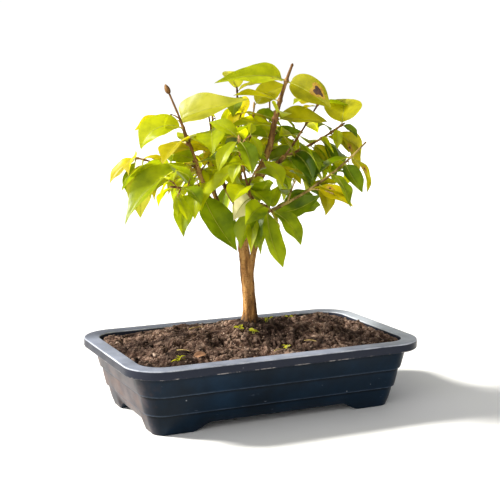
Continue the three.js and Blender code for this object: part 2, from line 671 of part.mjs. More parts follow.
// Side twigs leave the lowest nodes on alternate sides, and each bears two pairs of leaves
function setTwigs(spray) {
  const { name, curve, turn, leaf } = spray;
  const random = seeded(spray.seed + 1);
  const radiusAt = (share) => THREE.MathUtils.lerp(...TWIG_GIRTH, share) / 2;
  for (let node = 0; node < spray.twigs; node++) {
    const share = nodeShare(spray, node);
    const aim = wayOut(curve, share, TWIG_OPEN, turn + 90 * node + 180 * (node % 2) + TWIG_TURN);
    const start = curve.getPoint(share);
    const tip = start.clone().addScaledVector(aim, TWIG_LENGTH);
    const twig = bowedCurve(start, tip.toArray(), TWIG_BOW);
    const solid = limb(twig, radiusAt, STEM_SIDES, TWIG_ROWS);
    const strangers = taken.filter((other) => other.owner !== name);
    const grown = inCrown(solid, tip) && !meets(solid, strangers) && fuse(spray, solid);
    if (grown) take(name, limb(twig, radiusAt, STEM_SIDES, TWIG_ROWS, CLEAR));
    TWIG_NODES.forEach((part, pair) => {
      for (const side of [0, 1]) {
        const faced = turn + 90 * pair + 180 * side;
        const wanted = ruledLeaf(twig, part, faced, leaf * TWIG_LEAF, random);
        if (grown) setLeaf(spray, wanted, false);
      }
    });
  }
}

bonsai.add(toMesh('tray', tray(), FINISH.tray));
bonsai.add(toMesh('soil', soil(), FINISH.soil));
growTrunk();
BOUGHS.forEach(growBough);
const sprays = SPRAYS.map(growStem);
sprays.forEach(setShownLeaves);
sprays.forEach(setPairs);
sprays.forEach(setTwigs);
for (const { name, body } of sprays) bonsai.add(toMesh(name, body, FINISH.leaf));

export default bonsai;
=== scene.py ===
import itertools
import math
import random

import bmesh
import bpy
import numpy as np
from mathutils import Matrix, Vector, kdtree, noise
from mathutils.bvhtree import BVHTree


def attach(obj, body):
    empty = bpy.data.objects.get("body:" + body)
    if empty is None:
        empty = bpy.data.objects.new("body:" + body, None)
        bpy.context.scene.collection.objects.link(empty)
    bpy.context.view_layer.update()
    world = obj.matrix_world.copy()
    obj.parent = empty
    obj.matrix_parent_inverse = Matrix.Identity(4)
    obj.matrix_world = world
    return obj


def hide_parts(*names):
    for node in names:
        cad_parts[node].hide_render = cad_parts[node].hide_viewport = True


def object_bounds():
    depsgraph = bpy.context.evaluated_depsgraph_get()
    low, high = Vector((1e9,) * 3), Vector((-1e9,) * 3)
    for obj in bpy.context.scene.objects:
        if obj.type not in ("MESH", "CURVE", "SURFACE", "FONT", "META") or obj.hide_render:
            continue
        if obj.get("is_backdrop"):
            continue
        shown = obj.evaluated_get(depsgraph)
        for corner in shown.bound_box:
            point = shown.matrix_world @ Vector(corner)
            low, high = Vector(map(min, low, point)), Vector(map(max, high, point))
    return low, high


# A surinam cherry bonsai in a stepped rectangular tray. Sizes are in millimetres unless they say otherwise.
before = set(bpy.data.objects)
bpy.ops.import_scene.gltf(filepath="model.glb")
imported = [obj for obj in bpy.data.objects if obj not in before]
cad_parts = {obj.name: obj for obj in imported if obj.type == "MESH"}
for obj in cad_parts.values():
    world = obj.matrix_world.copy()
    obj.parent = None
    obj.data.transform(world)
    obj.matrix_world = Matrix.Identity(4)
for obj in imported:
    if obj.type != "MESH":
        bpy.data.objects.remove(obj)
CAD_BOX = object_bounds()
MM = 0.001
BODY = "root"

# Camera, in millimetres, and the photo's frame
EYE = (-372.3, -804.5, 260.4)
TARGET = (0.0, 0.0, 122.75)
LENS = 83.12
SENSOR = 36.0
FRAME_PIXELS = 500

# Tray
TRAY_LENGTH = 240
TRAY_WIDTH = 146
TRAY_HEIGHT = 54
RIM_CORNER = 27
CORNER_SHRINK = 0.8
LEAST_CORNER = 4
LIP_WIDTH = 11.6
RIM_BAND = 7
RIM_UNDER = TRAY_HEIGHT - RIM_BAND
RIM_EDGE = 1.2
LIP_EDGE = 1.0
FLOOR_TOP = 9.5
FLOOR_INSET = 22
DRAIN_RADIUS = 6
DRAIN_SPACING = 110
DRAIN_SIDES = 40
TIERS = [
    dict(bottom=0, top=16, bottom_inset=22, top_inset=17.7, bulge=0.6),
    dict(bottom=16, top=31, bottom_inset=15.8, top_inset=13, bulge=0.2),
    dict(bottom=31, top=RIM_UNDER, bottom_inset=11.4, top_inset=8, bulge=0.2),
]
TIER_EDGE = 0.8
TIER_ROWS = 8
EDGE_STEPS = 4
ARCH_HEIGHT = 6
LONG_ARCH = dict(ground=70, crown=54)
SHORT_ARCH = dict(ground=30, crown=22)
CORNER_STEPS = 14
LONG_STEPS = 190
SHORT_STEPS = 110
INNERMOST_INSET = 69
FLOOR_ROWS = 12
TOUCHING = 1e-6

# Soil: near says how far each ring's middle lies on the way from the tray's middle to the trunk's foot.
# SOIL_ROWS counts the rows up the tray's wall, then those of each stretch to the trunk.
SOIL_EDGE = 49
SOIL_TOP = 60.4
SOIL_FLAT = 13
MOUND = [
    dict(inset=24, height=50.4, near=0.0),
    dict(inset=38, height=53, near=0.3),
    dict(inset=52, height=56.4, near=0.8),
]
SOIL_ROWS = [4, 16, 20, 20, 26, 10]
SOIL_RISE = 3.2
BACK_RISE = dict(rise=4.6, left=-104, right=-78)
BANK = dict(rise=3.0, reach=14)
CLEAR = 0.3

# Trunk and boughs
TRUNK_FOOT = (5.5, 12.2)
TRUNK_PATH = [
    (*TRUNK_FOOT, SOIL_TOP + CLEAR),
    (*TRUNK_FOOT, 73),
    (3.2, 13, 104),
    (0.5, 14, 128),
    (1.2, 14, 146),
    (6, 12, 162),
    (13, 9, 183),
    (20, 6, 203),
]
TRUNK_GIRTH = (12, 5)
TRUNK_TAPER = 0.7
ROOT_FLARE = dict(extra=1.7, height=6)
TRUNK_SUNK = 3
BOUGHS = [
    dict(name="second_stem", at=0.2, tip=(12, -4, 152), bow=(-2.2, 1.2, 2.9), girth=(5.4, 3.8), collar=0),
    dict(name="bough_left", at=0.44, tip=(-30, 13, 164), bow=(0, -1, 1), girth=(5, 3.8)),
    dict(name="bough_inner", at=0.49, tip=(-19, 28, 168), bow=(-2, 1, -4), girth=(4.6, 3.4)),
    dict(name="bough_front", at=0.55, tip=(-4, -16, 159), bow=(-1, -2, 0), girth=(4, 3)),
    dict(name="bough_back_left", at=0.59, tip=(0, 48, 168), bow=(0, 2, -1), girth=(4, 3)),
    dict(name="bough_mid", at=0.69, tip=(5, 30, 178), bow=(0, 2, -2), girth=(3.8, 3)),
    dict(name="bough_back", at=0.74, tip=(30, 38, 178), bow=(1, 2, -2), girth=(3.8, 3)),
    dict(name="bough_right", at=0.84, tip=(32, 5, 194), bow=(0, 0, -1), girth=(3.6, 3)),
]

# Sprays: each is one stem with opposite pairs of leaves, every pair turned a quarter from the last. shown
# lists the leaves that make the outline of the front, more lists leaves on the stem that the solids lack.
# tints are dealt out in turn to the other leaves, and held says how some of those hang.
USUAL_SPRAY = dict(girth=(2.8, 1.6), pairs=4, last=1, twigs=0, shown=[], held={}, more=[])


def a_spray(name, on, **kinds):
    return dict(USUAL_SPRAY, name=name, on=on, **kinds)


def a_leaf(at, tip, bend, roll, tint, **kinds):
    """A leaf by its place on the stem, its tip, the degrees that it bends and rolls and its tint.

    kinds may say how much wider it is than the rule's, in the solids too (wide) or here alone (broad), the
    degrees that it twists along its length, how it bows sideways and where it is widest.
    """
    return dict(at=at, tip=tip, bend=bend, roll=roll, tint=tint, **kinds)


SPRAYS = [
    a_spray(
        "spray_leader", "trunk", tip=(35, -1, 264), bow=(-2, 0, 0), girth=(4.9, 2), first=0.08, last=0.56,
        turn=0, leaf=42, seed=3, tints=("green", "lime", "olive"),
        shown=[
            a_leaf(0.81, (-25, 11, 251), 46, -24, "lime", twist=-22, widest=0.28, bow=(4.3, -2.0, -0.8)),
            a_leaf(0.81, (54, -30, 232), 60, 46, "olive", wide=1.1, twist=10, widest=0.4,
                   bow=(-1.4, 0.7, -3.2)),
            a_leaf(0.33, (64, -6, 221), 40, 24, "olive", twist=8, broad=1.3, bow=(0, 0, -2.6)),
            a_leaf(0.33, (3, -2, 214), 50, -30, "green"),
        ],
        held={5: dict(pitch=-40, bend=40), 6: dict(broad=0.5)},
    ),
    a_spray(
        "spray_left_tall", "bough_left", tip=(-55, 29, 244), bow=(2, 0, -1), girth=(3.6, 1.8), pairs=3,
        first=0.14, last=0.55, turn=20, leaf=42, seed=5, tints=("lime", "green", "yellow"),
        shown=[
            a_leaf(0.34, (-97, 13, 146), 44, -16, "fresh", twist=8, broad=0.78, bow=(-1.4, 0.7, 1.4)),
            a_leaf(0.66, (-77, 32, 201), 110, -34, "lime", twist=-20, broad=1.18),
            a_leaf(0.46, (-64, 24, 191), 50, -30, "yellow", twist=10, broad=1.25, bow=(0, 0, 3)),
        ],
        held={3: dict(heading=-115)},
        more=[
            a_leaf(0.35, (-58.4, 38.2, 195.0), 50, -45, "green", broad=1.4),
        ],
    ),
    a_spray(
        "spray_left_pale", "bough_left", tip=(-42, 39, 223), bow=(0, 3, 0), girth=(3, 1.8), pairs=3,
        first=0.4, last=0.98, turn=60, leaf=42, seed=7, tints=("yellow", "lime"),
        shown=[
            a_leaf(0.98, (2, 5, 239), 36, 38, "pale", twist=14, widest=0.34, broad=1.15,
                   bow=(-9.4, 4.4, -5.4)),
        ],
        held={3: dict(pitch=6), 4: dict(pitch=38, bend=70)},
    ),
    a_spray(
        "spray_left_far", "bough_left", tip=(-74, 52, 193), bow=(1, 3, 5), first=0.35, turn=30, leaf=40,
        twigs=2, seed=11, tints=("yellow", "lime", "green"),
        shown=[
            a_leaf(0.98, (-94, 58, 173), 40, -30, "yellow"),
            a_leaf(0.9, (-75, 41, 147), 30, 0, "pale"),
            a_leaf(0.72, (-75, 36, 192), 50, -20, "yellow"),
        ],
        held={3: dict(pitch=-10, bend=40), 4: dict(pitch=10, bend=60), 8: dict(pitch=10, bend=60)},
        more=[
            a_leaf(0.6, (-70, 53, 190.5), 50, -10, "yellow", broad=1.2, bow=(0, 0, 2)),
        ],
    ),
    a_spray(
        "spray_left_low", "bough_left", tip=(-73, -22, 177), bow=(0, -3, 2), pairs=2, first=0.45, last=0.75,
        turn=80, leaf=30, seed=13, tints=("green", "lime"),
        shown=[
            a_leaf(0.3, (-68, -25, 148), 40, -24, "green", broad=0.8, bow=(-4, 1.9, 0)),
            a_leaf(0.16, (-20, -20, 126), 30, 24, "deep", broad=1.12, bow=(-5, 2.3, -0.8)),
            a_leaf(0.95, (-79, -10, 161), 50, 0, "lime"),
        ],
        held={6: dict(heading=65, pitch=10)},
    ),
    a_spray(
        "spray_inner_left", "bough_inner", tip=(-22, 29, 226), bow=(2, 0, 0), first=0.25, last=0.8, turn=10,
        leaf=42, twigs=2, seed=19, tints=("green", "lime"),
        shown=[
            a_leaf(0.5, (-47, 50, 198), 70, -28, "yellow", twist=-30),
        ],
        held={4: dict(pitch=10, bend=60)},
        more=[
            a_leaf(0.3, (-33.1, 8.8, 163.2), 40, -10, "lime"),
            a_leaf(0.8, (-20.0, 4.0, 203.7), 50, 0, "lime"),
        ],
    ),
    a_spray(
        "spray_inner_tall", "bough_mid", tip=(4, 33, 246), bow=(0, 0, 0), first=0.25, last=0.9, turn=40,
        leaf=40, twigs=1, seed=17, tints=("yellow", "green", "lime"),
        shown=[
            a_leaf(0.98, (5, 56, 260), 40, 0, "pale", wide=1.3),
            a_leaf(0.72, (-8, 19, 213), 50, 0, "yellow"),
        ],
        held={4: dict(pitch=-45, bend=50)},
        more=[
            a_leaf(0.97, (20.2, 21.3, 250.1), 50, 20, "olive"),
        ],
    ),
    a_spray(
        "spray_inner_right", "bough_mid", tip=(17, 29, 234), bow=(3, 1, 0), girth=(2.6, 1.6), pairs=3,
        first=0.3, last=0.85, turn=20, leaf=40, twigs=1, seed=61, tints=("lime", "green"),
        shown=[
            a_leaf(0.98, (38, 14, 249), 40, 60, "olive", wide=1.3, twist=20),
        ],
    ),
    a_spray(
        "spray_right_long", "second_stem", tip=(73, -48, 206), bow=(2, -2, -4), girth=(3.4, 1.6), first=0.2,
        last=0.85, turn=0, leaf=38, twigs=2, seed=23, tints=("deep", "green", "olive"),
        shown=[
            a_leaf(0.13, (61, -2, 155), 24, 58, "deep", wide=1.1),
            a_leaf(0.5, (57, -60, 160), 50, 30, "yellow", twist=-30, bow=(-1.4, 0.7, -4)),
            a_leaf(0.5, (44, -41, 152), 40, 10, "bronze", bow=(2.6, -1.2, 0)),
            a_leaf(0.78, (66, -58, 170), 40, 10, "deep", broad=1.2, bow=(-2.2, 1, -1)),
        ],
        held={4: dict(heading=40, pitch=10, bend=50), 6: dict(pitch=5, bend=40), 8: dict(broad=0.6),
              10: dict(pitch=-10, bend=40), 11: dict(heading=65, pitch=10, bend=50),
              13: dict(heading=65, pitch=10, bend=50)},
        more=[
            a_leaf(0.04, (45.5, -32.5, 167.5), 16, 55, "deep", bow=(0, 0, -7)),
            a_leaf(0.06, (23.8, -0.5, 171.7), 40, 0, "green", broad=1.2),
            a_leaf(0.42, (62.9, -29.2, 175.0), 40, 20, "olive"),
        ],
    ),
    a_spray(
        "spray_right_up", "bough_right", tip=(75, -11, 219), bow=(0, 0, -2), first=0.25, last=0.8, turn=30,
        leaf=40, twigs=1, seed=29, tints=("green", "deep", "lime"),
        shown=[
            a_leaf(0.98, (93, 16, 238), 50, 0, "olive", wide=1.4, widest=0.4, broad=1.2, bow=(0, 0, -2.4)),
            a_leaf(0.9, (66, -14, 200), 60, -10, "lime"),
            a_leaf(0.97, (81, -23, 209), 60, 20, "deep"),
            a_leaf(0.3, (50, -17, 180), 60, 20, "lime"),
            a_leaf(0.14, (40, -28, 177), 60, 30, "deep"),
            a_leaf(0.62, (67, -14, 177), 40, 10, "deep"),
            a_leaf(0.78, (89, -18, 181), 44, 16, "bronze", twist=60),
            a_leaf(0.84, (92, 4, 190), 44, 0, "olive", twist=-60),
        ],
        held={8: dict(pitch=10, bend=60), 14: dict(broad=0.6)},
        more=[
            a_leaf(0.5, (58.0, -18.6, 184.4), 40, 10, "olive"),
            a_leaf(0.02, (42.1, -17.6, 167.0), 40, 20, "deep", bow=(5.8, -2.7, 4.8)),
            a_leaf(0.7, (79.1, -14.0, 196.6), 40, 20, "olive", broad=1.2),
        ],
    ),
    a_spray(
        "spray_right_tall", "bough_right", tip=(64, 9, 235), bow=(0, 1, -2), girth=(2.6, 1.6), pairs=3,
        first=0.35, last=0.98, turn=70, leaf=36, seed=31, tints=("lime", "green"),
        shown=[
            a_leaf(0.98, (52, 30, 241), 40, 0, "yellow", twist=-60, broad=1.25, widest=0.36,
                   bow=(1.4, -0.7, -3.2)),
        ],
        held={3: dict(heading=40, pitch=10, bend=60), 4: dict(pitch=10, bend=60)},
        more=[
            a_leaf(0.95, (45.8, 5.7, 228.4), 40, 0, "yellow"),
        ],
    ),
    a_spray(
        "spray_front", "bough_front", tip=(-2, -42, 158), bow=(0, 0, 3), pairs=2, first=0.3, last=0.7,
        turn=100, leaf=30, twigs=1, seed=37, tints=("green", "deep", "olive"),
        shown=[
            a_leaf(0.75, (2, -54, 117), 30, 0, "green", broad=0.85, widest=0.56, bow=(-4.5, 2.1, -1.2)),
            a_leaf(0.45, (-12, -44, 128), 36, 10, "green", twist=40, broad=0.72),
            a_leaf(0.95, (16, -55, 133), 50, 16, "green", wide=1.1, twist=30),
            a_leaf(0.12, (-19, -24, 128), 30, -10, "green"),
        ],
        more=[
            a_leaf(0.1, (-19.1, -42.4, 127.0), 30, 0, "lime", broad=0.45),
            a_leaf(0.3, (-12.9, -37.9, 129.7), 30, 0, "green", broad=0.8),
        ],
    ),
    a_spray(
        "spray_centre", "bough_front", tip=(-17, -17, 211), bow=(-4, -5, 0), pairs=2, first=0.3, last=0.7,
        turn=70, leaf=34, twigs=1, seed=41, tints=("green", "lime"),
        shown=[
            a_leaf(0.12, (-34, -45, 153), 40, -50, "cream", wide=0.9),
            a_leaf(0.96, (-15, -36, 185), 60, 10, "green"),
            a_leaf(0.96, (-35, -20, 186), 60, -10, "lime", wide=0.8, twist=-40),
            a_leaf(0.62, (-37, -14, 171), 40, -20, "lime", wide=0.9, twist=-40),
            a_leaf(0.8, (-48, -6, 200), 50, -20, "green", twist=-40),
            a_leaf(0.98, (-33, 2, 222), 40, -16, "lime", twist=-40),
        ],
        more=[
            a_leaf(0.28, (-6.0, -47.8, 160.3), 40, 0, "green"),
        ],
    ),
    a_spray(
        "spray_back", "bough_back", tip=(44, 46, 206), bow=(0, 2, 2), first=0.25, turn=30, leaf=38, twigs=2,
        seed=43, tints=("green", "lime", "deep"),
    ),
    a_spray(
        "spray_back_right", "bough_back", tip=(72, 30, 196), bow=(0, 2, 3), first=0.25, turn=30, leaf=38,
        twigs=2, seed=53, tints=("olive", "green", "lime"),
    ),
    a_spray(
        "spray_back_tall", "bough_back", tip=(34, 36, 238), bow=(3, 3, 0), girth=(2.6, 1.6), first=0.3,
        turn=50, leaf=40, twigs=1, seed=59, tints=("lime", "olive", "green"),
    ),
    a_spray(
        "spray_back_left", "bough_back_left", tip=(-34, 50, 190), bow=(0, 3, 2), girth=(2.6, 1.6),
        first=0.3, turn=10, leaf=38, twigs=2, seed=47, tints=("lime", "green", "yellow"),
    ),
    a_spray(
        "spray_back_low", "bough_back_left", tip=(16, 56, 166), bow=(0, 0, 3), girth=(2.6, 1.6), first=0.3,
        turn=25, leaf=38, twigs=2, seed=67, tints=("green", "deep", "lime"),
    ),
    a_spray(
        "spray_back_high", "bough_back_left", tip=(-10, 50, 224), bow=(0, 3, 0), girth=(2.6, 1.6),
        first=0.3, turn=40, leaf=40, twigs=1, seed=71, tints=("lime", "yellow", "green"),
        held={2: dict(heading=75, pitch=-42)},
    ),
]
TAN_SPRAYS = ("spray_right_long",)
BUD_SPRAY = "spray_left_tall"

# Leaf
PETIOLE = 0.09
BLADE_RATIO = 0.5
BLADE_WIDEST = 0.46
NO_BOW = (0.0, 0.0, 0.0)
BLADE_BASE_POWER = 0.62
BLADE_TIP_POWER = 0.72
BLADE_TIP_PINCH = 0.45
BLADE_PINCH_POWER = 6
DRIP_TIP = dict(start=0.6, full=0.94, narrowing=0.36)
LEAF_OPEN = 62
LEAF_DROOP = 14
LEAF_BEND = 46
LEAF_FOLD = 18
LEAF_ROLL = 30
SPREAD = dict(turn=18, droop=14, bend=22, roll=16, length=0.2, fold=8)
TWIG_LENGTH = 22
TWIG_OPEN = 48
TWIG_TURN = 45
TWIG_BOW = (0, 0, 1)
TWIG_GIRTH = (1.5, 1.0)
TWIG_LEAF = 0.86
TWIG_NODES = (0.5, 1)
# The turns, tilts and shares of its length that a leaf tries in turn to stand clear of the others
NUDGES = [
    (0, 0, 1),
    (0, -16, 1),
    (20, 0, 1),
    (-20, 0, 1),
    (0, 16, 1),
    (32, -12, 0.85),
    (-32, -12, 0.85),
    (0, -30, 0.75),
]
CROWN_AXIS = (2, 6)
SEED_STEP = 7919
SEED_START = 104729
SEED_FACTOR = 16807
SEED_MODULUS = 2147483647
UPRIGHT = 0.98
TANGENT_STEP = 1e-4
UP = np.array([0.0, 0.0, 1.0])
ACROSS = np.array([1.0, 0.0, 0.0])


def unit(vector):
    return vector / np.linalg.norm(vector)


def lerp(start, end, share):
    return start + (end - start) * share


def eased(share, height):
    """A rise to a height that starts and ends gently, at a share of its way."""
    share = np.clip(share, 0, 1)
    return height * share * share * (3 - 2 * share)


def hump(distance, reach):
    """A smooth rise that is 1 at no distance and fades past its reach."""
    return np.exp(-(distance / reach) ** 2)


def around(sides):
    """Angles spread evenly round a circle."""
    return np.linspace(0, 2 * math.pi, sides, endpoint=False)


def drawn_from(draw, spans):
    """One number from each span, drawn in turn."""
    return np.array([draw.uniform(*span) for span in spans])


# Seeds of what is strewn by chance
SEEDS = dict(crumbs=11, leaves=5, blemishes=2, sprouts=8, litter=4)

# Curves
CURVE_SAMPLES = 200
LEAST_POINTS = 3


class Curve:
    """A curve from 0 to 1 that is given by its point at a share."""

    def __init__(self, point):
        self.point = point

    def tangent(self, share):
        low = max(share - TANGENT_STEP, 0.0)
        high = min(share + TANGENT_STEP, 1.0)
        return unit(self.point(high) - self.point(low))

    def even(self, spacing):
        """Points along the curve, evenly spaced, the share of the length at each, and the length."""
        fine = np.array([self.point(share) for share in np.linspace(0, 1, CURVE_SAMPLES)])
        steps = np.linalg.norm(np.diff(fine, axis=0), axis=1)
        run = np.concatenate([[0.0], np.cumsum(steps)])
        count = max(LEAST_POINTS, int(run[-1] / spacing) + 1)
        shares = np.linspace(0, 1, count)
        points = np.stack([np.interp(shares * run[-1], run, fine[:, axis]) for axis in range(3)], axis=1)
        return points, shares, run[-1]


def bowed(start, tip, bow):
    start = np.asarray(start, float)
    tip = np.asarray(tip, float)
    control = (start + tip) / 2 + 2 * np.asarray(bow, float)
    return Curve(lambda s: (1 - s) ** 2 * start + 2 * s * (1 - s) * control + s * s * tip)


def threaded(path):
    """A smooth curve through points, which passes each one along the line between its neighbours."""
    points = np.asarray(path, float)
    before = 2 * points[0] - points[1]
    after = 2 * points[-1] - points[-2]
    padded = np.vstack([before, points, after])

    def point(share):
        place = share * (len(points) - 1)
        span = min(int(place), len(points) - 2)
        t = place - span
        p0, p1, p2, p3 = padded[span:span + 4]
        leave = (p2 - p0) / 2
        arrive = (p3 - p1) / 2
        square = -3 * p1 + 3 * p2 - 2 * leave - arrive
        cube = 2 * p1 - 2 * p2 + leave + arrive
        return p1 + leave * t + square * t ** 2 + cube * t ** 3

    return Curve(point)


# The rule that places leaves and twigs


def seeded(seed):
    """A repeatable stream of numbers from 0 to 1."""
    state = seed * SEED_STEP + SEED_START

    def draw():
        nonlocal state
        state = (state * SEED_FACTOR) % SEED_MODULUS
        return state / SEED_MODULUS

    return draw


def way_out(curve, share, opening, turn):
    """The way out of a stem at a node: open degrees from the stem, turned round it by turn degrees."""
    along = curve.tangent(share)
    level = ACROSS if abs(along[2]) > UPRIGHT else unit(np.cross(along, UP))
    over = np.cross(level, along)
    away = math.cos(math.radians(turn)) * level + math.sin(math.radians(turn)) * over
    return math.cos(math.radians(opening)) * along + math.sin(math.radians(opening)) * away


def leaf_pairs(shares, turn):
    """The leaves of opposite pairs, each pair a quarter further round: their shares, sides and turns."""
    for pair, share in enumerate(shares):
        for side in (0, 1):
            yield share, side, turn + 90 * pair + 180 * side


def ruled_leaf(curve, share, turn, length, draw):
    """A leaf by the rule: it leaves its stem at turn, droops, and rolls away from the crown's axis."""
    def spread(kind):
        return SPREAD[kind] * (2 * draw() - 1)

    base = curve.point(share)
    aim = way_out(curve, share, LEAF_OPEN, turn + spread("turn"))
    heading = math.atan2(aim[1], aim[0])
    outward = math.atan2(base[1] - CROWN_AXIS[1], base[0] - CROWN_AXIS[0])
    pitch = math.degrees(math.asin(aim[2])) - LEAF_DROOP + spread("droop")
    bend = LEAF_BEND + spread("bend")
    roll = -LEAF_ROLL * math.sin(outward - heading) + spread("roll")
    length = length * (1 + spread("length"))
    fold = LEAF_FOLD + spread("fold")
    return dict(base=base, heading=math.degrees(heading), pitch=pitch, bend=bend, roll=roll,
                length=length, fold=fold, wide=1)


def shown_leaf(curve, shown):
    """A leaf whose tip is given."""
    base = curve.point(shown["at"])
    chord = np.asarray(shown["tip"], float) - base
    span = np.linalg.norm(chord)
    half = math.radians(shown["bend"]) / 2
    return dict(base=base, heading=math.degrees(math.atan2(chord[1], chord[0])),
                pitch=math.degrees(math.asin(chord[2] / span)) + shown["bend"] / 2,
                bend=shown["bend"], roll=shown["roll"], length=span * half / math.sin(half),
                fold=LEAF_FOLD, wide=shown.get("wide", 1),
                twist=shown.get("twist", 0), broad=shown.get("broad", 1),
                bow=shown.get("bow", NO_BOW), widest=shown.get("widest", BLADE_WIDEST))


def blade_half(leaf, share):
    """Half width of a leaf at a share of its whole length."""
    blade = np.clip((np.asarray(share) - PETIOLE) / (1 - PETIOLE), 0, 1)

    def shape(q):
        pinch = 1 - BLADE_TIP_PINCH * q ** BLADE_PINCH_POWER
        drawn = (q - DRIP_TIP["start"]) / (DRIP_TIP["full"] - DRIP_TIP["start"])
        drip = 1 - eased(drawn, DRIP_TIP["narrowing"])
        return q ** BLADE_BASE_POWER * (1 - q) ** BLADE_TIP_POWER * pinch * drip

    power = math.log(BLADE_WIDEST) / math.log(leaf.get("widest", BLADE_WIDEST))
    return leaf["length"] * BLADE_RATIO * leaf["wide"] / 2 * shape(blade ** power) / shape(BLADE_WIDEST)


def leaf_points(leaf, share, side, half, lift):
    """Points of a leaf: share runs from its root to its tip, side from -1 to 1, lift is off its face."""
    heading, pitch, bend, fold = (math.radians(leaf[key]) for key in ("heading", "pitch", "bend", "fold"))
    roll = np.radians(leaf["roll"] + leaf.get("twist", 0) * share)[:, None]
    now = pitch - bend * share
    reach = leaf["length"] * (math.sin(pitch) - np.sin(now)) / bend
    rise = leaf["length"] * (np.cos(now) - math.cos(pitch)) / bend
    forward = np.array([math.cos(heading), math.sin(heading), 0.0])
    left = np.array([-math.sin(heading), math.cos(heading), 0.0])
    face = np.outer(-np.sin(now), forward) + np.outer(np.cos(now), UP)
    width = np.cos(roll) * left + np.sin(roll) * face
    face = np.cos(roll) * face - np.sin(roll) * left
    points = leaf["base"] + np.outer(reach, forward) + np.outer(rise, UP)
    points = points + np.outer(4 * share * (1 - share), leaf.get("bow", NO_BOW))
    points = points + (side * half * math.cos(fold))[:, None] * width
    return points + (np.abs(side) * half * math.sin(fold) + lift)[:, None] * face


def midrib(leaf, share):
    nothing = np.zeros(len(share))
    return leaf_points(leaf, share, nothing, nothing, nothing)


def leaf_tip(leaf):
    return midrib(leaf, np.ones(1))[0]


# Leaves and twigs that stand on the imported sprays
TIP_MATCH = 0.25
TWIG_MATCH = 1.2


def node_tree(name):
    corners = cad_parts[name].data.vertices
    tree = kdtree.KDTree(len(corners))
    for index, corner in enumerate(corners):
        tree.insert(corner.co / MM, index)
    tree.balance()
    return tree


def settled(tree, wanted):
    """The attitude in which a leaf stands on its spray, or none where the spray has no such leaf."""
    for heading, pitch, length in NUDGES:
        leaf = dict(wanted, heading=wanted["heading"] + heading, pitch=wanted["pitch"] + pitch,
                    length=wanted["length"] * length)
        if tree.find(leaf_tip(leaf))[2] < TIP_MATCH:
            return leaf
    return None


def stem_nodes(spray):
    """Where along a spray's stem its pairs of leaves stand."""
    steps = spray["pairs"] - 1
    return [lerp(spray["first"], spray["last"], node / steps) for node in range(spray["pairs"])]


def grow_spray(spray, stem):
    """The leaves and side twigs of one spray."""
    tree = node_tree(spray["name"])
    tints = itertools.cycle(spray["tints"])

    def bear(bearer, shares, length, draw):
        borne = []
        for share, _, turn in leaf_pairs(shares, spray["turn"]):
            leaf = settled(tree, ruled_leaf(bearer, share, turn, length, draw))
            if leaf:
                borne.append((leaf, next(tints)))
        return borne

    leaves = []
    for shown in spray["shown"]:
        leaf = settled(tree, shown_leaf(stem, shown))
        if leaf:
            leaves.append((leaf, shown["tint"]))
    nodes = stem_nodes(spray)
    leaves += bear(stem, nodes, spray["leaf"], seeded(spray["seed"]))
    twigs = []
    draw = seeded(spray["seed"] + 1)
    for node, share in enumerate(nodes[:spray["twigs"]]):
        turn = spray["turn"] + 90 * node + 180 * (node % 2) + TWIG_TURN
        start = stem.point(share)
        tip = start + way_out(stem, share, TWIG_OPEN, turn) * TWIG_LENGTH
        twig = bowed(start, tip, TWIG_BOW)
        borne = bear(twig, TWIG_NODES, spray["leaf"] * TWIG_LEAF, draw)
        if borne or tree.find(tip)[2] < TWIG_MATCH:
            twigs.append(twig)
        leaves += borne
    held = spray["held"]
    leaves = [(dict(leaf, **held.get(index, {})), tint) for index, (leaf, tint) in enumerate(leaves)]
    return leaves, twigs


# Meshes
END_ROUND = 0.5


class Pile:
    """Many small shapes that become one piece."""

    def __init__(self):
        self.points = []
        self.faces = []
        self.count = 0

    def add(self, points, faces):
        self.faces.extend(tuple(self.count + corner for corner in face) for face in faces)
        self.points.append(np.asarray(points, float))
        self.count += len(points)

    def whole(self):
        return np.vstack(self.points), self.faces


def new_mesh(name, points, faces):
    mesh = bpy.data.meshes.new(name)
    mesh.from_pydata((np.asarray(points) * MM).tolist(), [], faces)
    return mesh


def new_object(name, data):
    thing = bpy.data.objects.new(name, data)
    bpy.context.scene.collection.objects.link(thing)
    return thing


def make_piece(name, points, faces, material, slot, nodes=(), closed=True):
    mesh = new_mesh(name, points, faces)
    if closed:
        shape = bmesh.new()
        shape.from_mesh(mesh)
        bmesh.ops.recalc_face_normals(shape, faces=shape.faces)
        shape.to_mesh(mesh)
        shape.free()
    mesh.polygons.foreach_set("use_smooth", [True] * len(mesh.polygons))
    mesh.materials.append(material)
    mesh.update()
    piece = new_object(name, mesh)
    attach(piece, BODY)
    if nodes:
        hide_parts(*nodes)
    return piece


def loft_faces(rows, sides, start=0):
    faces = []
    for row in range(rows - 1):
        for side in range(sides):
            after = (side + 1) % sides
            low = start + row * sides
            faces.append((low + side, low + after, low + sides + after, low + sides + side))
    return faces


def capped_faces(rows, sides):
    """The faces of a loft, then one face for each of its ends."""
    last = (rows - 1) * sides
    return loft_faces(rows, sides) + [tuple(reversed(range(sides))), tuple(range(last, last + sides))]


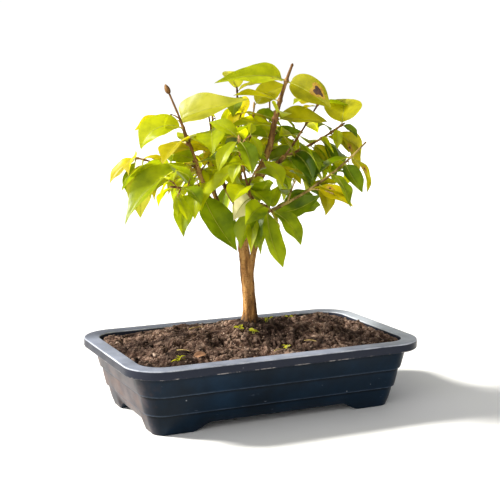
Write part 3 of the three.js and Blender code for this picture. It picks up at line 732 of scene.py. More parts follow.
def tube(points, radii, sides):
    """A round limb through points with rounded ends; radii has a row for each point."""
    rows = len(points)
    radii = np.broadcast_to(np.asarray(radii, float).reshape(rows, -1), (rows, sides))
    tangents = np.gradient(points, axis=0)
    tangents = tangents / np.linalg.norm(tangents, axis=1)[:, None]
    seed = ACROSS if abs(tangents[0][0]) < UPRIGHT else UP
    normal = unit(np.cross(tangents[0], seed))
    angles = around(sides)
    rings = []
    for row in range(rows):
        normal = unit(normal - tangents[row] * np.dot(normal, tangents[row]))
        binormal = np.cross(tangents[row], normal)
        ring = np.outer(np.cos(angles), normal) + np.outer(np.sin(angles), binormal)
        rings.append(points[row] + radii[row][:, None] * ring)
    head = points[0] - tangents[0] * radii[0].mean() * END_ROUND
    tail = points[-1] + tangents[-1] * radii[-1].mean() * END_ROUND
    every = np.vstack(rings + [head[None], tail[None]])
    faces = loft_faces(rows, sides)
    first = rows * sides
    for side in range(sides):
        after = (side + 1) % sides
        faces.append((after, side, first))
        faces.append(((rows - 1) * sides + side, (rows - 1) * sides + after, first + 1))
    return every, faces


# Materials: a noise's scale is in waves per metre, a bump's depth in millimetres. fit maps one span onto
# another, and a colour is six hexadecimal digits.
MIX_FACTOR, MIX_ONE, MIX_OTHER, MIX_RESULT = 0, 6, 7, 2


def rgb(code):
    """A colour written as six hexadecimal digits, as the linear colour that shaders take."""
    parts = [int(code[i:i + 2], 16) / 255 for i in (0, 2, 4)]
    linear = [part / 12.92 if part <= 0.04045 else ((part + 0.055) / 1.055) ** 2.4 for part in parts]
    return (*linear, 1.0)


class Nodes:
    """A node tree and a short way to add nodes to it."""

    def __init__(self, tree, place):
        self.tree = tree
        self.place = self.add("ShaderNodeTexCoord").outputs[place]

    def add(self, kind, settings=None, **inputs):
        node = self.tree.nodes.new(kind)
        for key, value in (settings or {}).items():
            setattr(node, key, value)
        for key, value in inputs.items():
            self.set(node.inputs[key.replace("_", " ")], value)
        return node

    def set(self, socket, value):
        if isinstance(value, bpy.types.NodeSocket):
            self.tree.links.new(value, socket)
        else:
            socket.default_value = value

    def fit(self, value, span, onto=(0.0, 1.0)):
        node = self.add("ShaderNodeMapRange", Value=value, From_Min=span[0], From_Max=span[1],
                        To_Min=onto[0], To_Max=onto[1])
        return node.outputs["Result"]

    def combine(self, kind, operation, one, other):
        node = self.add(kind, dict(operation=operation))
        self.set(node.inputs[0], one)
        self.set(node.inputs[1], other)
        return node.outputs["Value"]

    def times(self, one, other):
        return self.combine("ShaderNodeMath", "MULTIPLY", one, other)

    def axis(self, socket, name):
        return self.add("ShaderNodeSeparateXYZ", Vector=socket).outputs[name]


class Shader(Nodes):
    """A material whose colour is laid on coat by coat."""

    def __init__(self, name):
        self.material = bpy.data.materials.new(name)
        self.material.use_nodes = True
        super().__init__(self.material.node_tree, "Object")
        self.surface = self.tree.nodes["Principled BSDF"]
        self.colour = None

    def noise(self, scale, detail=3, rough=0.55, stretch=(1, 1, 1)):
        mapping = self.add("ShaderNodeMapping", Vector=self.place, Scale=stretch)
        node = self.add("ShaderNodeTexNoise", Vector=mapping.outputs["Vector"], Scale=scale,
                        Detail=detail, Roughness=rough)
        return node.outputs["Fac"]

    def cells(self, scale):
        return self.add("ShaderNodeTexVoronoi", Vector=self.place, Scale=scale).outputs["Distance"]

    def level(self, axis, span, onto=(0.0, 1.0)):
        """How far along an axis a point lies in a span of millimetres."""
        return self.fit(self.axis(self.place, axis), [end * MM for end in span], onto)

    def strip(self, height, marks, most=1.0):
        """A strip beside a height: marks are where it starts, is full, begins to fade and ends."""
        starts, full, fades, ends = (height + mark for mark in marks)
        return self.times(self.level("Z", (starts, full), (0.0, most)), self.level("Z", (ends, fades)))

    def ramp(self, value, *stops):
        node = self.add("ShaderNodeValToRGB", Fac=value)
        elements = node.color_ramp.elements
        while len(elements) < len(stops):
            elements.new(0.5)
        for element, (position, code) in zip(elements, stops):
            element.position = position
            element.color = rgb(code)
        return node.outputs["Color"]

    def mix(self, factor, one, other):
        node = self.add("ShaderNodeMix", dict(data_type="RGBA"))
        for socket, value in ((MIX_FACTOR, factor), (MIX_ONE, one), (MIX_OTHER, other)):
            self.set(node.inputs[socket], value)
        return node.outputs[MIX_RESULT]

    def coat(self, factor, code):
        """Lays a colour over what is there, as far as the factor says."""
        self.colour = self.mix(factor, self.colour, rgb(code))

    def bump(self, height, strength, depth):
        node = self.add("ShaderNodeBump", Height=height, Strength=strength, Distance=depth * MM)
        self.set(self.surface.inputs["Normal"], node.outputs["Normal"])
        return node.outputs["Normal"]

    def finish(self, roughness, shine):
        looks = {"Base Color": self.colour, "Roughness": roughness, "Specular IOR Level": shine}
        for name, value in looks.items():
            self.set(self.surface.inputs[name], value)
        return self.material


LIGHT_THROUGH = 0.5


def leaf_material(name, dark, base, light, glow):
    """A glossy leaf that lets some of the light through."""
    shader = Shader(name)
    mottle = shader.noise(scale=70)
    shader.colour = shader.ramp(mottle, (0.2, dark), (0.5, base), (0.8, light))
    normal = shader.bump(shader.noise(scale=1100, detail=2), strength=0.12, depth=0.25)
    material = shader.finish(roughness=0.37, shine=0.3)
    through = shader.add("ShaderNodeBsdfTranslucent", Normal=normal,
                         Color=shader.ramp(mottle, (0.25, base), (0.6, glow)))
    both = shader.add("ShaderNodeMixShader", Fac=LIGHT_THROUGH)
    for socket, layer in zip(both.inputs[1:], (shader.surface, through)):
        shader.set(socket, layer.outputs["BSDF"])
    shader.set(shader.tree.nodes["Material Output"].inputs["Surface"], both.outputs["Shader"])
    return material


BARK_STOPS = (0.34, 0.48, 0.62)


def bark_material(name, low, high, heights, foot=None):
    """Streaked, flecked bark that turns from low to high colours between two heights, stained at its foot."""
    shader = Shader(name)
    streak = shader.noise(scale=160, detail=5, rough=0.6, stretch=(1, 1, 0.22))
    lower, upper = (shader.ramp(streak, *zip(BARK_STOPS, codes)) for codes in (low, high))
    shader.colour = shader.mix(shader.level("Z", heights), lower, upper)
    flecks = shader.noise(scale=620, detail=4, rough=0.65, stretch=(1, 1, 1.3))
    shader.coat(shader.fit(flecks, (0.57, 0.65), (0.0, 0.85)), low[0])
    rings = shader.noise(scale=480, detail=4, rough=0.6, stretch=(0.3, 0.3, 1.5))
    shader.coat(shader.fit(rings, (0.56, 0.66), (0.0, 0.35)), low[0])
    if foot:
        stain = shader.noise(scale=300, detail=5, rough=0.65, stretch=(1, 1, 0.4))
        patchy = shader.fit(stain, (0.38, 0.55), (0.2, 1.0))
        shader.coat(shader.times(shader.level("Z", (foot["fades"], foot["full"])), patchy), foot["colour"])
    relief = shader.noise(scale=650, detail=5, rough=0.65, stretch=(1, 1, 0.4))
    shader.bump(relief, strength=0.7, depth=0.6)
    return shader.finish(roughness=0.78, shine=0.25)


# A painted shadow of the trunk on the soil to its front right: its middle, the distance out to which it is
# full, the distance at which it has faded and how dark it is at most
TRUNK_SHADOW = dict(at=(16, -2, SOIL_TOP), full=9, fades=29, most=0.84)


def soil_material(name, dark, base, light):
    """Crumbly soil: painted shade in its creases and painted light on its ridges, damp in patches and pale
    where it is dry, with a painted shadow beside the trunk.
    """
    shader = Shader(name)
    grains = shader.noise(scale=260, detail=6, rough=0.65)
    shader.colour = shader.ramp(grains, (0.3, dark), (0.5, base), (0.72, light))
    bend = shader.add("ShaderNodeNewGeometry").outputs["Pointiness"]
    # Painted light: the soil's ridges, found by how pointy the mesh is, are coated lighter
    shader.coat(shader.fit(bend, (0.505, 0.58), (0.0, 0.75)), light)
    damp = shader.noise(scale=34, detail=5, rough=0.65)
    shader.coat(shader.fit(damp, (0.42, 0.6), (0.85, 0.0)), dark)
    # The painted shadow darkens the soil near its middle
    middle = [part * MM for part in TRUNK_SHADOW["at"]]
    shadow_gap = shader.combine("ShaderNodeVectorMath", "DISTANCE", shader.place, middle)
    shader.coat(shader.fit(shadow_gap, (TRUNK_SHADOW["full"] * MM, TRUNK_SHADOW["fades"] * MM), (TRUNK_SHADOW["most"], 0.0)), dark)
    # Painted shade: the soil's creases are coated darker
    shader.coat(shader.fit(bend, (0.503, 0.435), (0.0, 0.95)), dark)
    shader.bump(shader.noise(scale=900, detail=6, rough=0.7), strength=0.9, depth=1.2)
    return shader.finish(roughness=0.95, shine=0.15)


# Painted shade under the tray's rim, light along its foot, the rubbed top with a painted sheen on it, and the
# stretches over which that sheen fades to the back and brightens to a painted highlight at the right end
RIM_SHADE = (-4.5, 0)
RIM_FOOT = (-0.2, 0.4)
RIM_TOP = (-1.0, -0.3)
BACK_FADE = (40, 60)
RIGHT_END = (60, 112)

# Wear, painted highlights and painted shade beside the tray's edges: where each starts, is full, begins to
# fade and ends
TIER_WEAR_AND_HIGHLIGHT = (-0.6, 0, 0.4, 1.3)
TIER_SHADE = (-2.6, -0.6, -0.6, 0)
RIM_EDGE_HIGHLIGHT = (-1.1, -0.6, -0.25, -0.02)
RIM_LOW_WEAR = (0, 0.3, 0.6, 1.1)


def tray_material():
    """Dark slate plastic, scuffed along its rim and tiers, with painted highlights on those edges and a
    painted sheen on the rim's top, painted shade under the rim and each tier, and dust and painted light on
    the end that faces the light.
    """
    shader = Shader("tray_plastic")
    cloud = shader.noise(scale=30, detail=4)
    shader.colour = shader.ramp(cloud, (0.3, "08131D"), (0.55, "0C1D2C"), (0.8, "13293D"))
    facing = shader.axis(shader.add("ShaderNodeNewGeometry").outputs["Normal"], "X")
    # Dust and painted light on the faces that look left, towards the key light: partly real dust, partly the
    # lit side painted lighter
    dust_and_light = shader.fit(shader.noise(scale=28, detail=5, rough=0.6), (0.38, 0.66), (0.12, 1.0))
    shader.coat(shader.times(shader.fit(facing, (-0.5, -0.95)), dust_and_light), "564A4A")
    # A warm stain on the same faces, partly stain and partly painted warm light
    stain_and_warm_light = shader.fit(shader.noise(scale=36, detail=4, rough=0.6), (0.5, 0.68), (0.0, 0.5))
    shader.coat(shader.times(shader.fit(facing, (-0.3, -0.8)), stain_and_warm_light), "5E4334")
    # Painted shade under the rim
    shader.coat(shader.level("Z", [RIM_UNDER + mark for mark in RIM_SHADE], (0.0, 0.8)), "04090E")
    shader.coat(shader.level("Z", [RIM_UNDER + mark for mark in RIM_FOOT], (0.0, 0.6)), "2A2E3C")
    scuffs_and_glints = shader.fit(shader.noise(scale=70, detail=5, rough=0.65), (0.3, 0.62), (0.1, 0.9))
    for tier in TIERS[1:]:
        # Each tier's lower edge gets a light line, partly wear and partly painted highlight, and painted
        # shade under its overhang
        shader.coat(shader.times(shader.strip(tier["bottom"], TIER_WEAR_AND_HIGHLIGHT), scuffs_and_glints), "3C4858")
        shader.coat(shader.strip(tier["bottom"], TIER_SHADE, most=0.75), "03070B")
    # The rim's top is rubbed and carries a painted sheen, weaker towards the back
    on_rim = shader.level("Z", [TRAY_HEIGHT + mark for mark in RIM_TOP])
    wear_and_sheen = shader.times(on_rim, shader.fit(shader.noise(scale=60, detail=5), (0.25, 0.7), (0.45, 0.95)))
    wear_and_sheen = shader.times(wear_and_sheen, shader.level("Y", BACK_FADE, (1.0, 0.25)))
    shader.coat(wear_and_sheen, "8D94A6")
    # A painted highlight on the rim's top at the right end
    right_end = shader.level("X", RIGHT_END, (0.0, 0.75))
    shader.coat(shader.times(right_end, wear_and_sheen), "C4CBD0")
    # Painted highlights along the rim's rounded edges, broken up by noise
    shader.coat(shader.times(shader.strip(TRAY_HEIGHT, RIM_EDGE_HIGHLIGHT), scuffs_and_glints), "C6CAD2")
    chipped = shader.fit(shader.noise(scale=130, detail=5, rough=0.65), (0.5, 0.6), (0.0, 0.75))
    shader.coat(shader.times(shader.strip(RIM_UNDER, RIM_LOW_WEAR), chipped), "A09A98")
    scratches = shader.noise(scale=420, detail=4, rough=0.7, stretch=(0.25, 1, 1))
    shader.coat(shader.fit(scratches, (0.69, 0.75), (0.0, 0.4)), "7C8492")
    shader.coat(shader.fit(shader.cells(scale=90), (0.06, 0.03), (0.0, 0.5)), "A8ADB5")
    shader.bump(shader.noise(scale=1500), strength=0.08, depth=0.3)
    roughness = shader.fit(shader.noise(scale=80, detail=5), (0.2, 0.8), (0.26, 0.44))
    return shader.finish(roughness, shine=0.11)


def plain_material(name, dark, light, scale, roughness):
    shader = Shader(name)
    shader.colour = shader.ramp(shader.noise(scale, detail=4), (0.3, dark), (0.7, light))
    shader.bump(shader.noise(scale * 5), strength=0.2, depth=0.3)
    return shader.finish(roughness, shine=0.3)


# Leaf tints: shade, body, light and the glow of light that comes through
TINTS = {
    "pale": ("949710", "AAAA25", "C1BD4A", "DDD831"),
    "yellow": ("998C04", "B2A406", "CABB12", "F5E518"),
    "lime": ("7F8C04", "9AA706", "B1BC12", "F2F211"),
    "fresh": ("667704", "809206", "96A710", "D8DE12"),
    "olive": ("757504", "8D8B06", "A39F09", "DBD20B"),
    "bronze": ("6F690A", "87810B", "9E9410", "CEC410"),
    "green": ("4C6204", "657C06", "7C920F", "C4D013"),
    # deep is a darker green that is also given to leaves lying in shade in the crown, so it is partly painted
    # shade
    "deep": ("2F4604", "405C06", "56720D", "9CB00F"),
    # cream is a pale leaf underside, partly real pallor and partly a painted highlight
    "cream": ("D7CB92", "E8DBA7", "F5EABE", "FFFDC9"),
}

# Tray
SHARP_ANGLE = 40


def outline_plan():
    """A rounded rectangle as signs and directions: the place of its straight run and of its corner arc."""
    plan = []
    signs = [(1, 1), (-1, 1), (-1, -1), (1, -1)]
    for corner, (sign_x, sign_y) in enumerate(signs):
        for step in range(CORNER_STEPS):
            angle = math.radians(90 * (corner + step / CORNER_STEPS))
            plan.append((sign_x, sign_y, math.cos(angle), math.sin(angle)))
        next_x, next_y = signs[(corner + 1) % 4]
        steps = LONG_STEPS if corner % 2 == 0 else SHORT_STEPS
        angle = math.radians(90 * (corner + 1))
        for step in range(steps):
            share = step / steps
            plan.append((lerp(sign_x, next_x, share), lerp(sign_y, next_y, share),
                         math.cos(angle), math.sin(angle)))
    return np.array(plan)


PLAN = outline_plan()


def outline(inset):
    """The tray's rounded outline, inset from its rim."""
    radius = max(LEAST_CORNER, RIM_CORNER - CORNER_SHRINK * inset)
    x = PLAN[:, 0] * (TRAY_LENGTH / 2 - inset - radius) + PLAN[:, 2] * radius
    y = PLAN[:, 1] * (TRAY_WIDTH / 2 - inset - radius) + PLAN[:, 3] * radius
    return np.stack([x, y], axis=1)


def at_height(flat, height):
    return np.column_stack([flat, np.broadcast_to(height, len(flat))])


def loop(inset, height):
    return at_height(outline(inset), height)


def inner_inset(height):
    return lerp(FLOOR_INSET, LIP_WIDTH, (height - FLOOR_TOP) / (TRAY_HEIGHT - FLOOR_TOP))


def arch(distance, ground, crown):
    """Height of an arch at a distance from its middle: level at its crown and eased down to the ground."""
    return eased((ground - np.abs(distance)) / (ground - crown), ARCH_HEIGHT)


def under_height(flat):
    return np.maximum(arch(flat[:, 0], **LONG_ARCH), arch(flat[:, 1], **SHORT_ARCH))


def rounded(start, end, corner):
    """A rounded edge of a profile, as insets and heights, bent towards its corner."""
    steps = []
    for step in range(EDGE_STEPS + 1):
        share = step / EDGE_STEPS
        weights = ((1 - share) ** 2, 2 * share * (1 - share), share ** 2)
        steps.append(tuple(weights[0] * start[part] + weights[1] * corner[part] + weights[2] * end[part]
                           for part in (0, 1)))
    return steps


def wall_profile():
    """The tray's outside from its lowest tier up, then the rim and the inside down to the floor."""
    profile = []
    for tier in TIERS:
        bottom, top = tier["bottom"], tier["top"]
        low, high = tier["bottom_inset"], tier["top_inset"]
        profile += rounded((low + TIER_EDGE, bottom), (low, bottom + TIER_EDGE), (low, bottom))
        for step in range(1, TIER_ROWS):
            share = step / TIER_ROWS
            belly = 4 * tier["bulge"] * share * (1 - share)
            profile.append((lerp(low, high, share) - belly, lerp(bottom + TIER_EDGE, top, share)))
        profile.append((high, top))
    profile += rounded((RIM_EDGE, RIM_UNDER), (0, RIM_UNDER + RIM_EDGE), (0, RIM_UNDER))
    profile += rounded((0, TRAY_HEIGHT - RIM_EDGE), (RIM_EDGE, TRAY_HEIGHT), (0, TRAY_HEIGHT))
    lip = (LIP_WIDTH, TRAY_HEIGHT)
    profile += rounded((LIP_WIDTH - LIP_EDGE, TRAY_HEIGHT), (LIP_WIDTH, TRAY_HEIGHT - LIP_EDGE), lip)
    for step in range(1, TIER_ROWS + 1):
        height = lerp(TRAY_HEIGHT - LIP_EDGE, FLOOR_TOP, step / TIER_ROWS)
        profile.append((inner_inset(height), height))
    return profile


def make_tray():
    loops = []
    foot = TIERS[0]
    first_inset = foot["bottom_inset"] + TIER_EDGE
    for step in range(FLOOR_ROWS):
        flat = outline(lerp(INNERMOST_INSET, first_inset, step / FLOOR_ROWS))
        loops.append(np.column_stack([flat, under_height(flat)]))
    for inset, height in wall_profile():
        ring = loop(inset, height)
        if height < foot["top"] and inset > foot["top_inset"] - TOUCHING:
            under = under_height(ring[:, :2])
            ring[:, 2] = under + height / foot["top"] * (foot["top"] - under)
        loops.append(ring)
    for step in range(1, FLOOR_ROWS + 1):
        loops.append(loop(lerp(FLOOR_INSET, INNERMOST_INSET, step / FLOOR_ROWS), FLOOR_TOP))
    faces = capped_faces(len(loops), len(PLAN))
    piece = make_piece("tray_shell", np.vstack(loops), faces, tray_material(), "tray", ["tray"])
    for side in (-1, 1):
        cut_drain(piece, side * DRAIN_SPACING / 2)
    piece.data.set_sharp_from_angle(angle=math.radians(SHARP_ANGLE))


def cut_drain(piece, x):
    """Cuts one round drain hole through the tray's floor."""
    angles = around(DRAIN_SIDES)
    circle = np.column_stack([x + DRAIN_RADIUS * np.cos(angles), DRAIN_RADIUS * np.sin(angles)])
    rings = [at_height(circle, height) for height in (0.0, 2.0 * FLOOR_TOP)]
    cutter = new_object("drain_cut", new_mesh("drain_cut", np.vstack(rings), capped_faces(2, DRAIN_SIDES)))
    cut = piece.modifiers.new("drain", "BOOLEAN")
    cut.object = cutter
    cut.operation = "DIFFERENCE"
    cut.solver = "EXACT"
    evaluated = piece.evaluated_get(bpy.context.evaluated_depsgraph_get())
    result = bpy.data.meshes.new_from_object(evaluated)
    piece.modifiers.remove(cut)
    piece.data = result
    bpy.data.objects.remove(cutter)


# Soil: rises and creases are given by the scale of their noise and their size, and each noise has its layer.
# SOIL_SEED fixes the warp of the clods, which would follow the clock without it.
SOIL_SEED = 1795807504
LUMPS = [(0.03, 2.6), (0.06, 4.2)]
LUMP_LAYER = 7.3
WARP = dict(scale=0.15, layer=3.1, size=2.2)
CRUMBLY = dict(scale=0.055, layer=21.0, least=0.25, most=1.5)
CREASED = [(0.09, 3.6), (0.21, 2.2), (0.5, 1.2), (1.1, 0.6)]
CREASE_LAYER = 5.7
CREASE_LEVEL = 0.4
LUMP_LIMIT = 3.6
EASED_ROWS = 4
CALM = dict(least=0.35, reach=40)
SOIL_CENTRE = 0.9
CRUMBS = [(0.3, 0.7, 1300), (0.7, 1.3, 320), (1.3, 2.2, 60)]
CRUMB_TINTS = ("dark", "mid", "mid", "pale")
CRUMB_COLOURS = {
    "dark": ("17100C", "35271E", "5C493C"),
    "mid": ("2A1E17", "5A473B", "937C6D"),
    "pale": ("5C4A3E", "8E7868", "BCA594"),
}
CRUMB_STRETCH = [(0.75, 1.3), (0.75, 1.3), (0.6, 0.95)]
CRUMB_SHIFTS = [(0, 90)] * 3
CRUMB_ROUGH = dict(size=0.8, scale=1.6)
CRUMB_LIFT = 0.1
CRUMB_FINENESS = 2
TRUNK_ROOM = 5.5
SKY = 200.0


def lump(x, y):
    """How far the soil stands off its mound: broad rises, and clods with creases between them."""
    rises = 0
    for scale, size in LUMPS:
        rises += size * noise.noise(Vector((x * scale, y * scale, LUMP_LAYER * size)))
    warp = noise.noise_vector(Vector((x * WARP["scale"], y * WARP["scale"], WARP["layer"]))) * WARP["size"]
    mask = noise.noise(Vector((x * CRUMBLY["scale"], y * CRUMBLY["scale"], CRUMBLY["layer"])))
    crumbly = lerp(CRUMBLY["least"], CRUMBLY["most"], min(1.0, max(0.0, 0.5 + mask)))
    for scale, size in CREASED:
        place = Vector(((x + warp.x) * scale, (y + warp.y) * scale, CREASE_LAYER * size))
        rises += crumbly * size * (2 * abs(noise.noise(place)) - CREASE_LEVEL)
    return LUMP_LIMIT * math.tanh(rises / LUMP_LIMIT)


def edge_rise(x, y):
    """The soil lies higher against the right end and the back."""
    right = max(0.0, x / (TRAY_LENGTH / 2)) ** 2
    back = max(0.0, y / (TRAY_WIDTH / 2)) ** 2
    behind = min(1.0, max(0.0, (x - BACK_RISE["left"]) / (BACK_RISE["right"] - BACK_RISE["left"])))
    return max(SOIL_RISE * right, BACK_RISE["rise"] * back * behind)


def from_trunk(x, y):
    return math.hypot(x - TRUNK_FOOT[0], y - TRUNK_FOOT[1])


def soil_rings():
    """The soil's outlines from the tray's floor up its wall and over the mound to the trunk."""
    rings = [
        loop(inner_inset(FLOOR_TOP) + CLEAR, FLOOR_TOP + CLEAR),
        loop(inner_inset(SOIL_EDGE) + CLEAR, SOIL_EDGE),
    ]
    foot = np.array(TRUNK_FOOT)
    rings += [loop(ring["inset"], ring["height"]) + ring["near"] * np.append(foot, 0.0) for ring in MOUND]
    turns = np.arctan2(rings[-1][:, 1] - foot[1], rings[-1][:, 0] - foot[0])
    disc = foot + SOIL_FLAT * np.column_stack([np.cos(turns), np.sin(turns)])
    return rings + [at_height(disc, SOIL_TOP), at_height(lerp(disc, foot, SOIL_CENTRE), SOIL_TOP)]


def make_soil():
    noise.seed_set(SOIL_SEED)
    rings = soil_rings()
    loops = [rings[0]]
    for start, end, count in zip(rings[:-1], rings[1:], SOIL_ROWS):
        for step in range(1, count + 1):
            loops.append(lerp(start, end, step / count))
    for row, ring in enumerate(loops[SOIL_ROWS[0]:], 1):
        ease = min(1.0, row / EASED_ROWS)
        for point in ring:
            x, y = point[:2]
            to_trunk = from_trunk(x, y)
            calm = min(1.0, CALM["least"] + to_trunk / CALM["reach"])
            banked = BANK["rise"] * math.exp(-(to_trunk / BANK["reach"]) ** 2)
            point[2] += ease * calm * lump(x, y) + edge_rise(x, y) + banked
    faces = capped_faces(len(loops), len(PLAN))
    points = np.vstack(loops)
    material = soil_material("soil_bed", "1A0C06", "5A4236", "B69A88")
    make_piece("soil_bed", points, faces, material, "soil", ["soil"])
    return BVHTree.FromPolygons(points.tolist(), faces[:-2])


def on_ground(bed, x, y, lift):
    """The point that stands a lift above the soil, or none beside it."""
    hit = bed.ray_cast(Vector((x, y, SKY)), Vector((0, 0, -1)))[0]
    return np.array([x, y, hit.z + lift]) if hit else None


def crumb_shape():
    shape = bmesh.new()
    bmesh.ops.create_icosphere(shape, subdivisions=CRUMB_FINENESS, radius=1.0)
    points = np.array([corner.co for corner in shape.verts])
    faces = [tuple(corner.index for corner in face.verts) for face in shape.faces]
    shape.free()
    return points, faces


def make_crumbs(bed):
    draw = random.Random(SEEDS["crumbs"])
    body, faces = crumb_shape()
    piles = {tint: Pile() for tint in CRUMB_COLOURS}
    for least, most, count in CRUMBS:
        inset = inner_inset(SOIL_EDGE) + most
        for _ in range(count):
            x = draw.uniform(-1, 1) * (TRAY_LENGTH / 2 - inset)
            y = draw.uniform(-1, 1) * (TRAY_WIDTH / 2 - inset)
            size = draw.uniform(least, most)
            tint = draw.choice(CRUMB_TINTS)
            stretch = drawn_from(draw, CRUMB_STRETCH)
            shift = Vector(drawn_from(draw, CRUMB_SHIFTS))
            middle = on_ground(bed, x, y, CRUMB_LIFT * size)
            if middle is None or from_trunk(x, y) < TRUNK_ROOM + size:
                continue
            bumps = [noise.noise(Vector(corner) * CRUMB_ROUGH["scale"] + shift) for corner in body]
            rough = 1 + CRUMB_ROUGH["size"] * np.array(bumps)
            piles[tint].add(body * rough[:, None] * stretch * size + middle, faces)
    for tint, pile in piles.items():
        material = soil_material(f"soil_{tint}", *CRUMB_COLOURS[tint])
        make_piece(f"soil_crumbs_{tint}", *pile.whole(), material, "soil")


# Leaf meshes
LEAF_ROWS, LEAF_COLUMNS = 30, 10
YOUNG_ROWS, YOUNG_COLUMNS = 18, 6
USUAL_LEAF = 45
VEINS = 7
VEIN_SLANT = 0.22
PANEL_FADE = 0.6
QUILT = 0.16
RIPPLE = 1.1
WAVES = (1.2, 2.2)
WAVE_STARTS = [(0, 6.28)] * 2
TWIST = (-30, 30)
GULL = (0.0, 0.7)
FOLD_GAIN = 1.4
BLADE_VARIETY = (0.9, 1.08)


def leaf_surface(leaf, draw):
    """The face of one leaf: folded at its midrib, with raised panels between its veins and a wavy edge."""
    size = leaf["length"] / USUAL_LEAF
    waves = draw.uniform(*WAVES)
    starts = drawn_from(draw, WAVE_STARTS)
    gull = draw.uniform(*GULL) * math.sin(math.radians(leaf["fold"]))
    twist, broad = drawn_from(draw, (TWIST, BLADE_VARIETY))
    leaf = dict(leaf, twist=leaf.get("twist", twist), fold=leaf["fold"] * FOLD_GAIN)
    broad = leaf.get("broad", broad)

    def surface(share, side, lift):
        out = np.abs(side)
        half = blade_half(leaf, share) * broad
        panel = np.cos(2 * math.pi * VEINS * (share - VEIN_SLANT * out))
        panel = panel * np.sqrt(out) * (1 - out * PANEL_FADE)
        phase = np.where(side < 0, *starts)
        wave = np.sin(2 * math.pi * waves * share + phase) * out ** 2 * np.sin(math.pi * share)
        raised = size * (QUILT * panel + RIPPLE * wave) - gull * half * side ** 2
        return leaf_points(leaf, share, side, half, raised + lift)

    return surface


def leaf_grid(rows, columns):
    """Shares along a blade and sides across it, row by row."""
    along = lerp(PETIOLE, 1.0, np.linspace(0, 1, rows))
    across = np.linspace(-1, 1, columns)
    return [grid.ravel() for grid in np.meshgrid(along, across, indexing="ij")]


def blade(surface, rows=LEAF_ROWS, columns=LEAF_COLUMNS):
    """The blade of one leaf, as a sheet."""
    share, side = leaf_grid(rows + 1, columns + 1)
    points = surface(share, side, np.zeros(len(share)))
    faces = []
    for row in range(rows):
        for column in range(columns):
            corner = row * (columns + 1) + column
            faces.append((corner, corner + columns + 1, corner + columns + 2, corner + 1))
    return points, faces


RIB_ROWS = 18
RIB_SIDES = 6
RIB_END = 0.985
RIB_RADII = [(0.0, 0.75), (0.07, 0.6), (0.12, 0.5), (0.3, 0.32), (0.7, 0.18), (1.0, 0.05)]
RIB_MOST = 1.2


def rib(leaf):
    """A leaf's stalk, running on as its midrib to the tip."""
    share = np.linspace(0, RIB_END, RIB_ROWS)
    size = min(RIB_MOST, leaf["length"] / USUAL_LEAF)
    marks, radii = zip(*RIB_RADII)
    return tube(midrib(leaf, share), np.interp(share, marks, radii) * size, RIB_SIDES)


# Limbs: coarse and fine are how far swells rise and cracks sink in the bark
SWELL_ROUND = 2.2
SWELL_ALONG = 0.16
CRACK_ROUND = 2.2
CRACK_ALONG = 0.3
CRACK_DEPTH = 0.35


def limb_relief(points, radius, sides, coarse, fine, seed):
    """Radii of a limb at each point and side, with the fissures and knobs of its bark."""
    angles = around(sides)
    coarse, fine = (np.broadcast_to(size, len(points)) for size in (coarse, fine))
    radii = np.empty((len(points), sides))
    for row, height in enumerate(points[:, 2]):
        for side, angle in enumerate(angles):
            x, y = math.cos(angle) * SWELL_ROUND, math.sin(angle) * SWELL_ROUND
            place = Vector((x, y, height * SWELL_ALONG + seed))
            swell = noise.noise(place)
            place = Vector((place.x * CRACK_ROUND, place.y * CRACK_ROUND, height * CRACK_ALONG + seed * 2))
            crack = CRACK_DEPTH - min(abs(noise.noise(place)), CRACK_DEPTH)
            radii[row, side] = radius[row] + coarse[row] * swell - fine[row] * crack * 2
    return radii


def trunk_radius(share, length):
    flare = ROOT_FLARE["extra"] * np.exp(-share * length / ROOT_FLARE["height"])
    return lerp(*TRUNK_GIRTH, share ** TRUNK_TAPER) / 2 + flare


# The trunk's relief, stronger near the ground, its root ridges, and knots by height, turn, size and reach
TRUNK_SIDES = 64
TRUNK_SPACING = 0.7
TRUNK_SEED = 3
TRUNK_RELIEF = dict(coarse=0.45, low_coarse=0.5, fine=0.26, low_fine=0.6, height=12)
RIDGES = dict(count=5, start=0.7, even=0.6, uneven=0.4, size=1.5, height=4.5)
FORK = dict(swell=0.8, height=104, reach=13)
KNOT_RADIUS = 4.5
KNOTS = [(92, 200, 0.7, 2.6), (108, 330, 0.45, 2.0), (122, 60, 0.6, 2.4), (133, 250, 0.65, 2.4),
         (158, 170, 0.55, 2.0), (172, 20, 0.5, 2.0), (186, 280, 0.45, 1.8)]
SUNK_SPREAD = 0.8


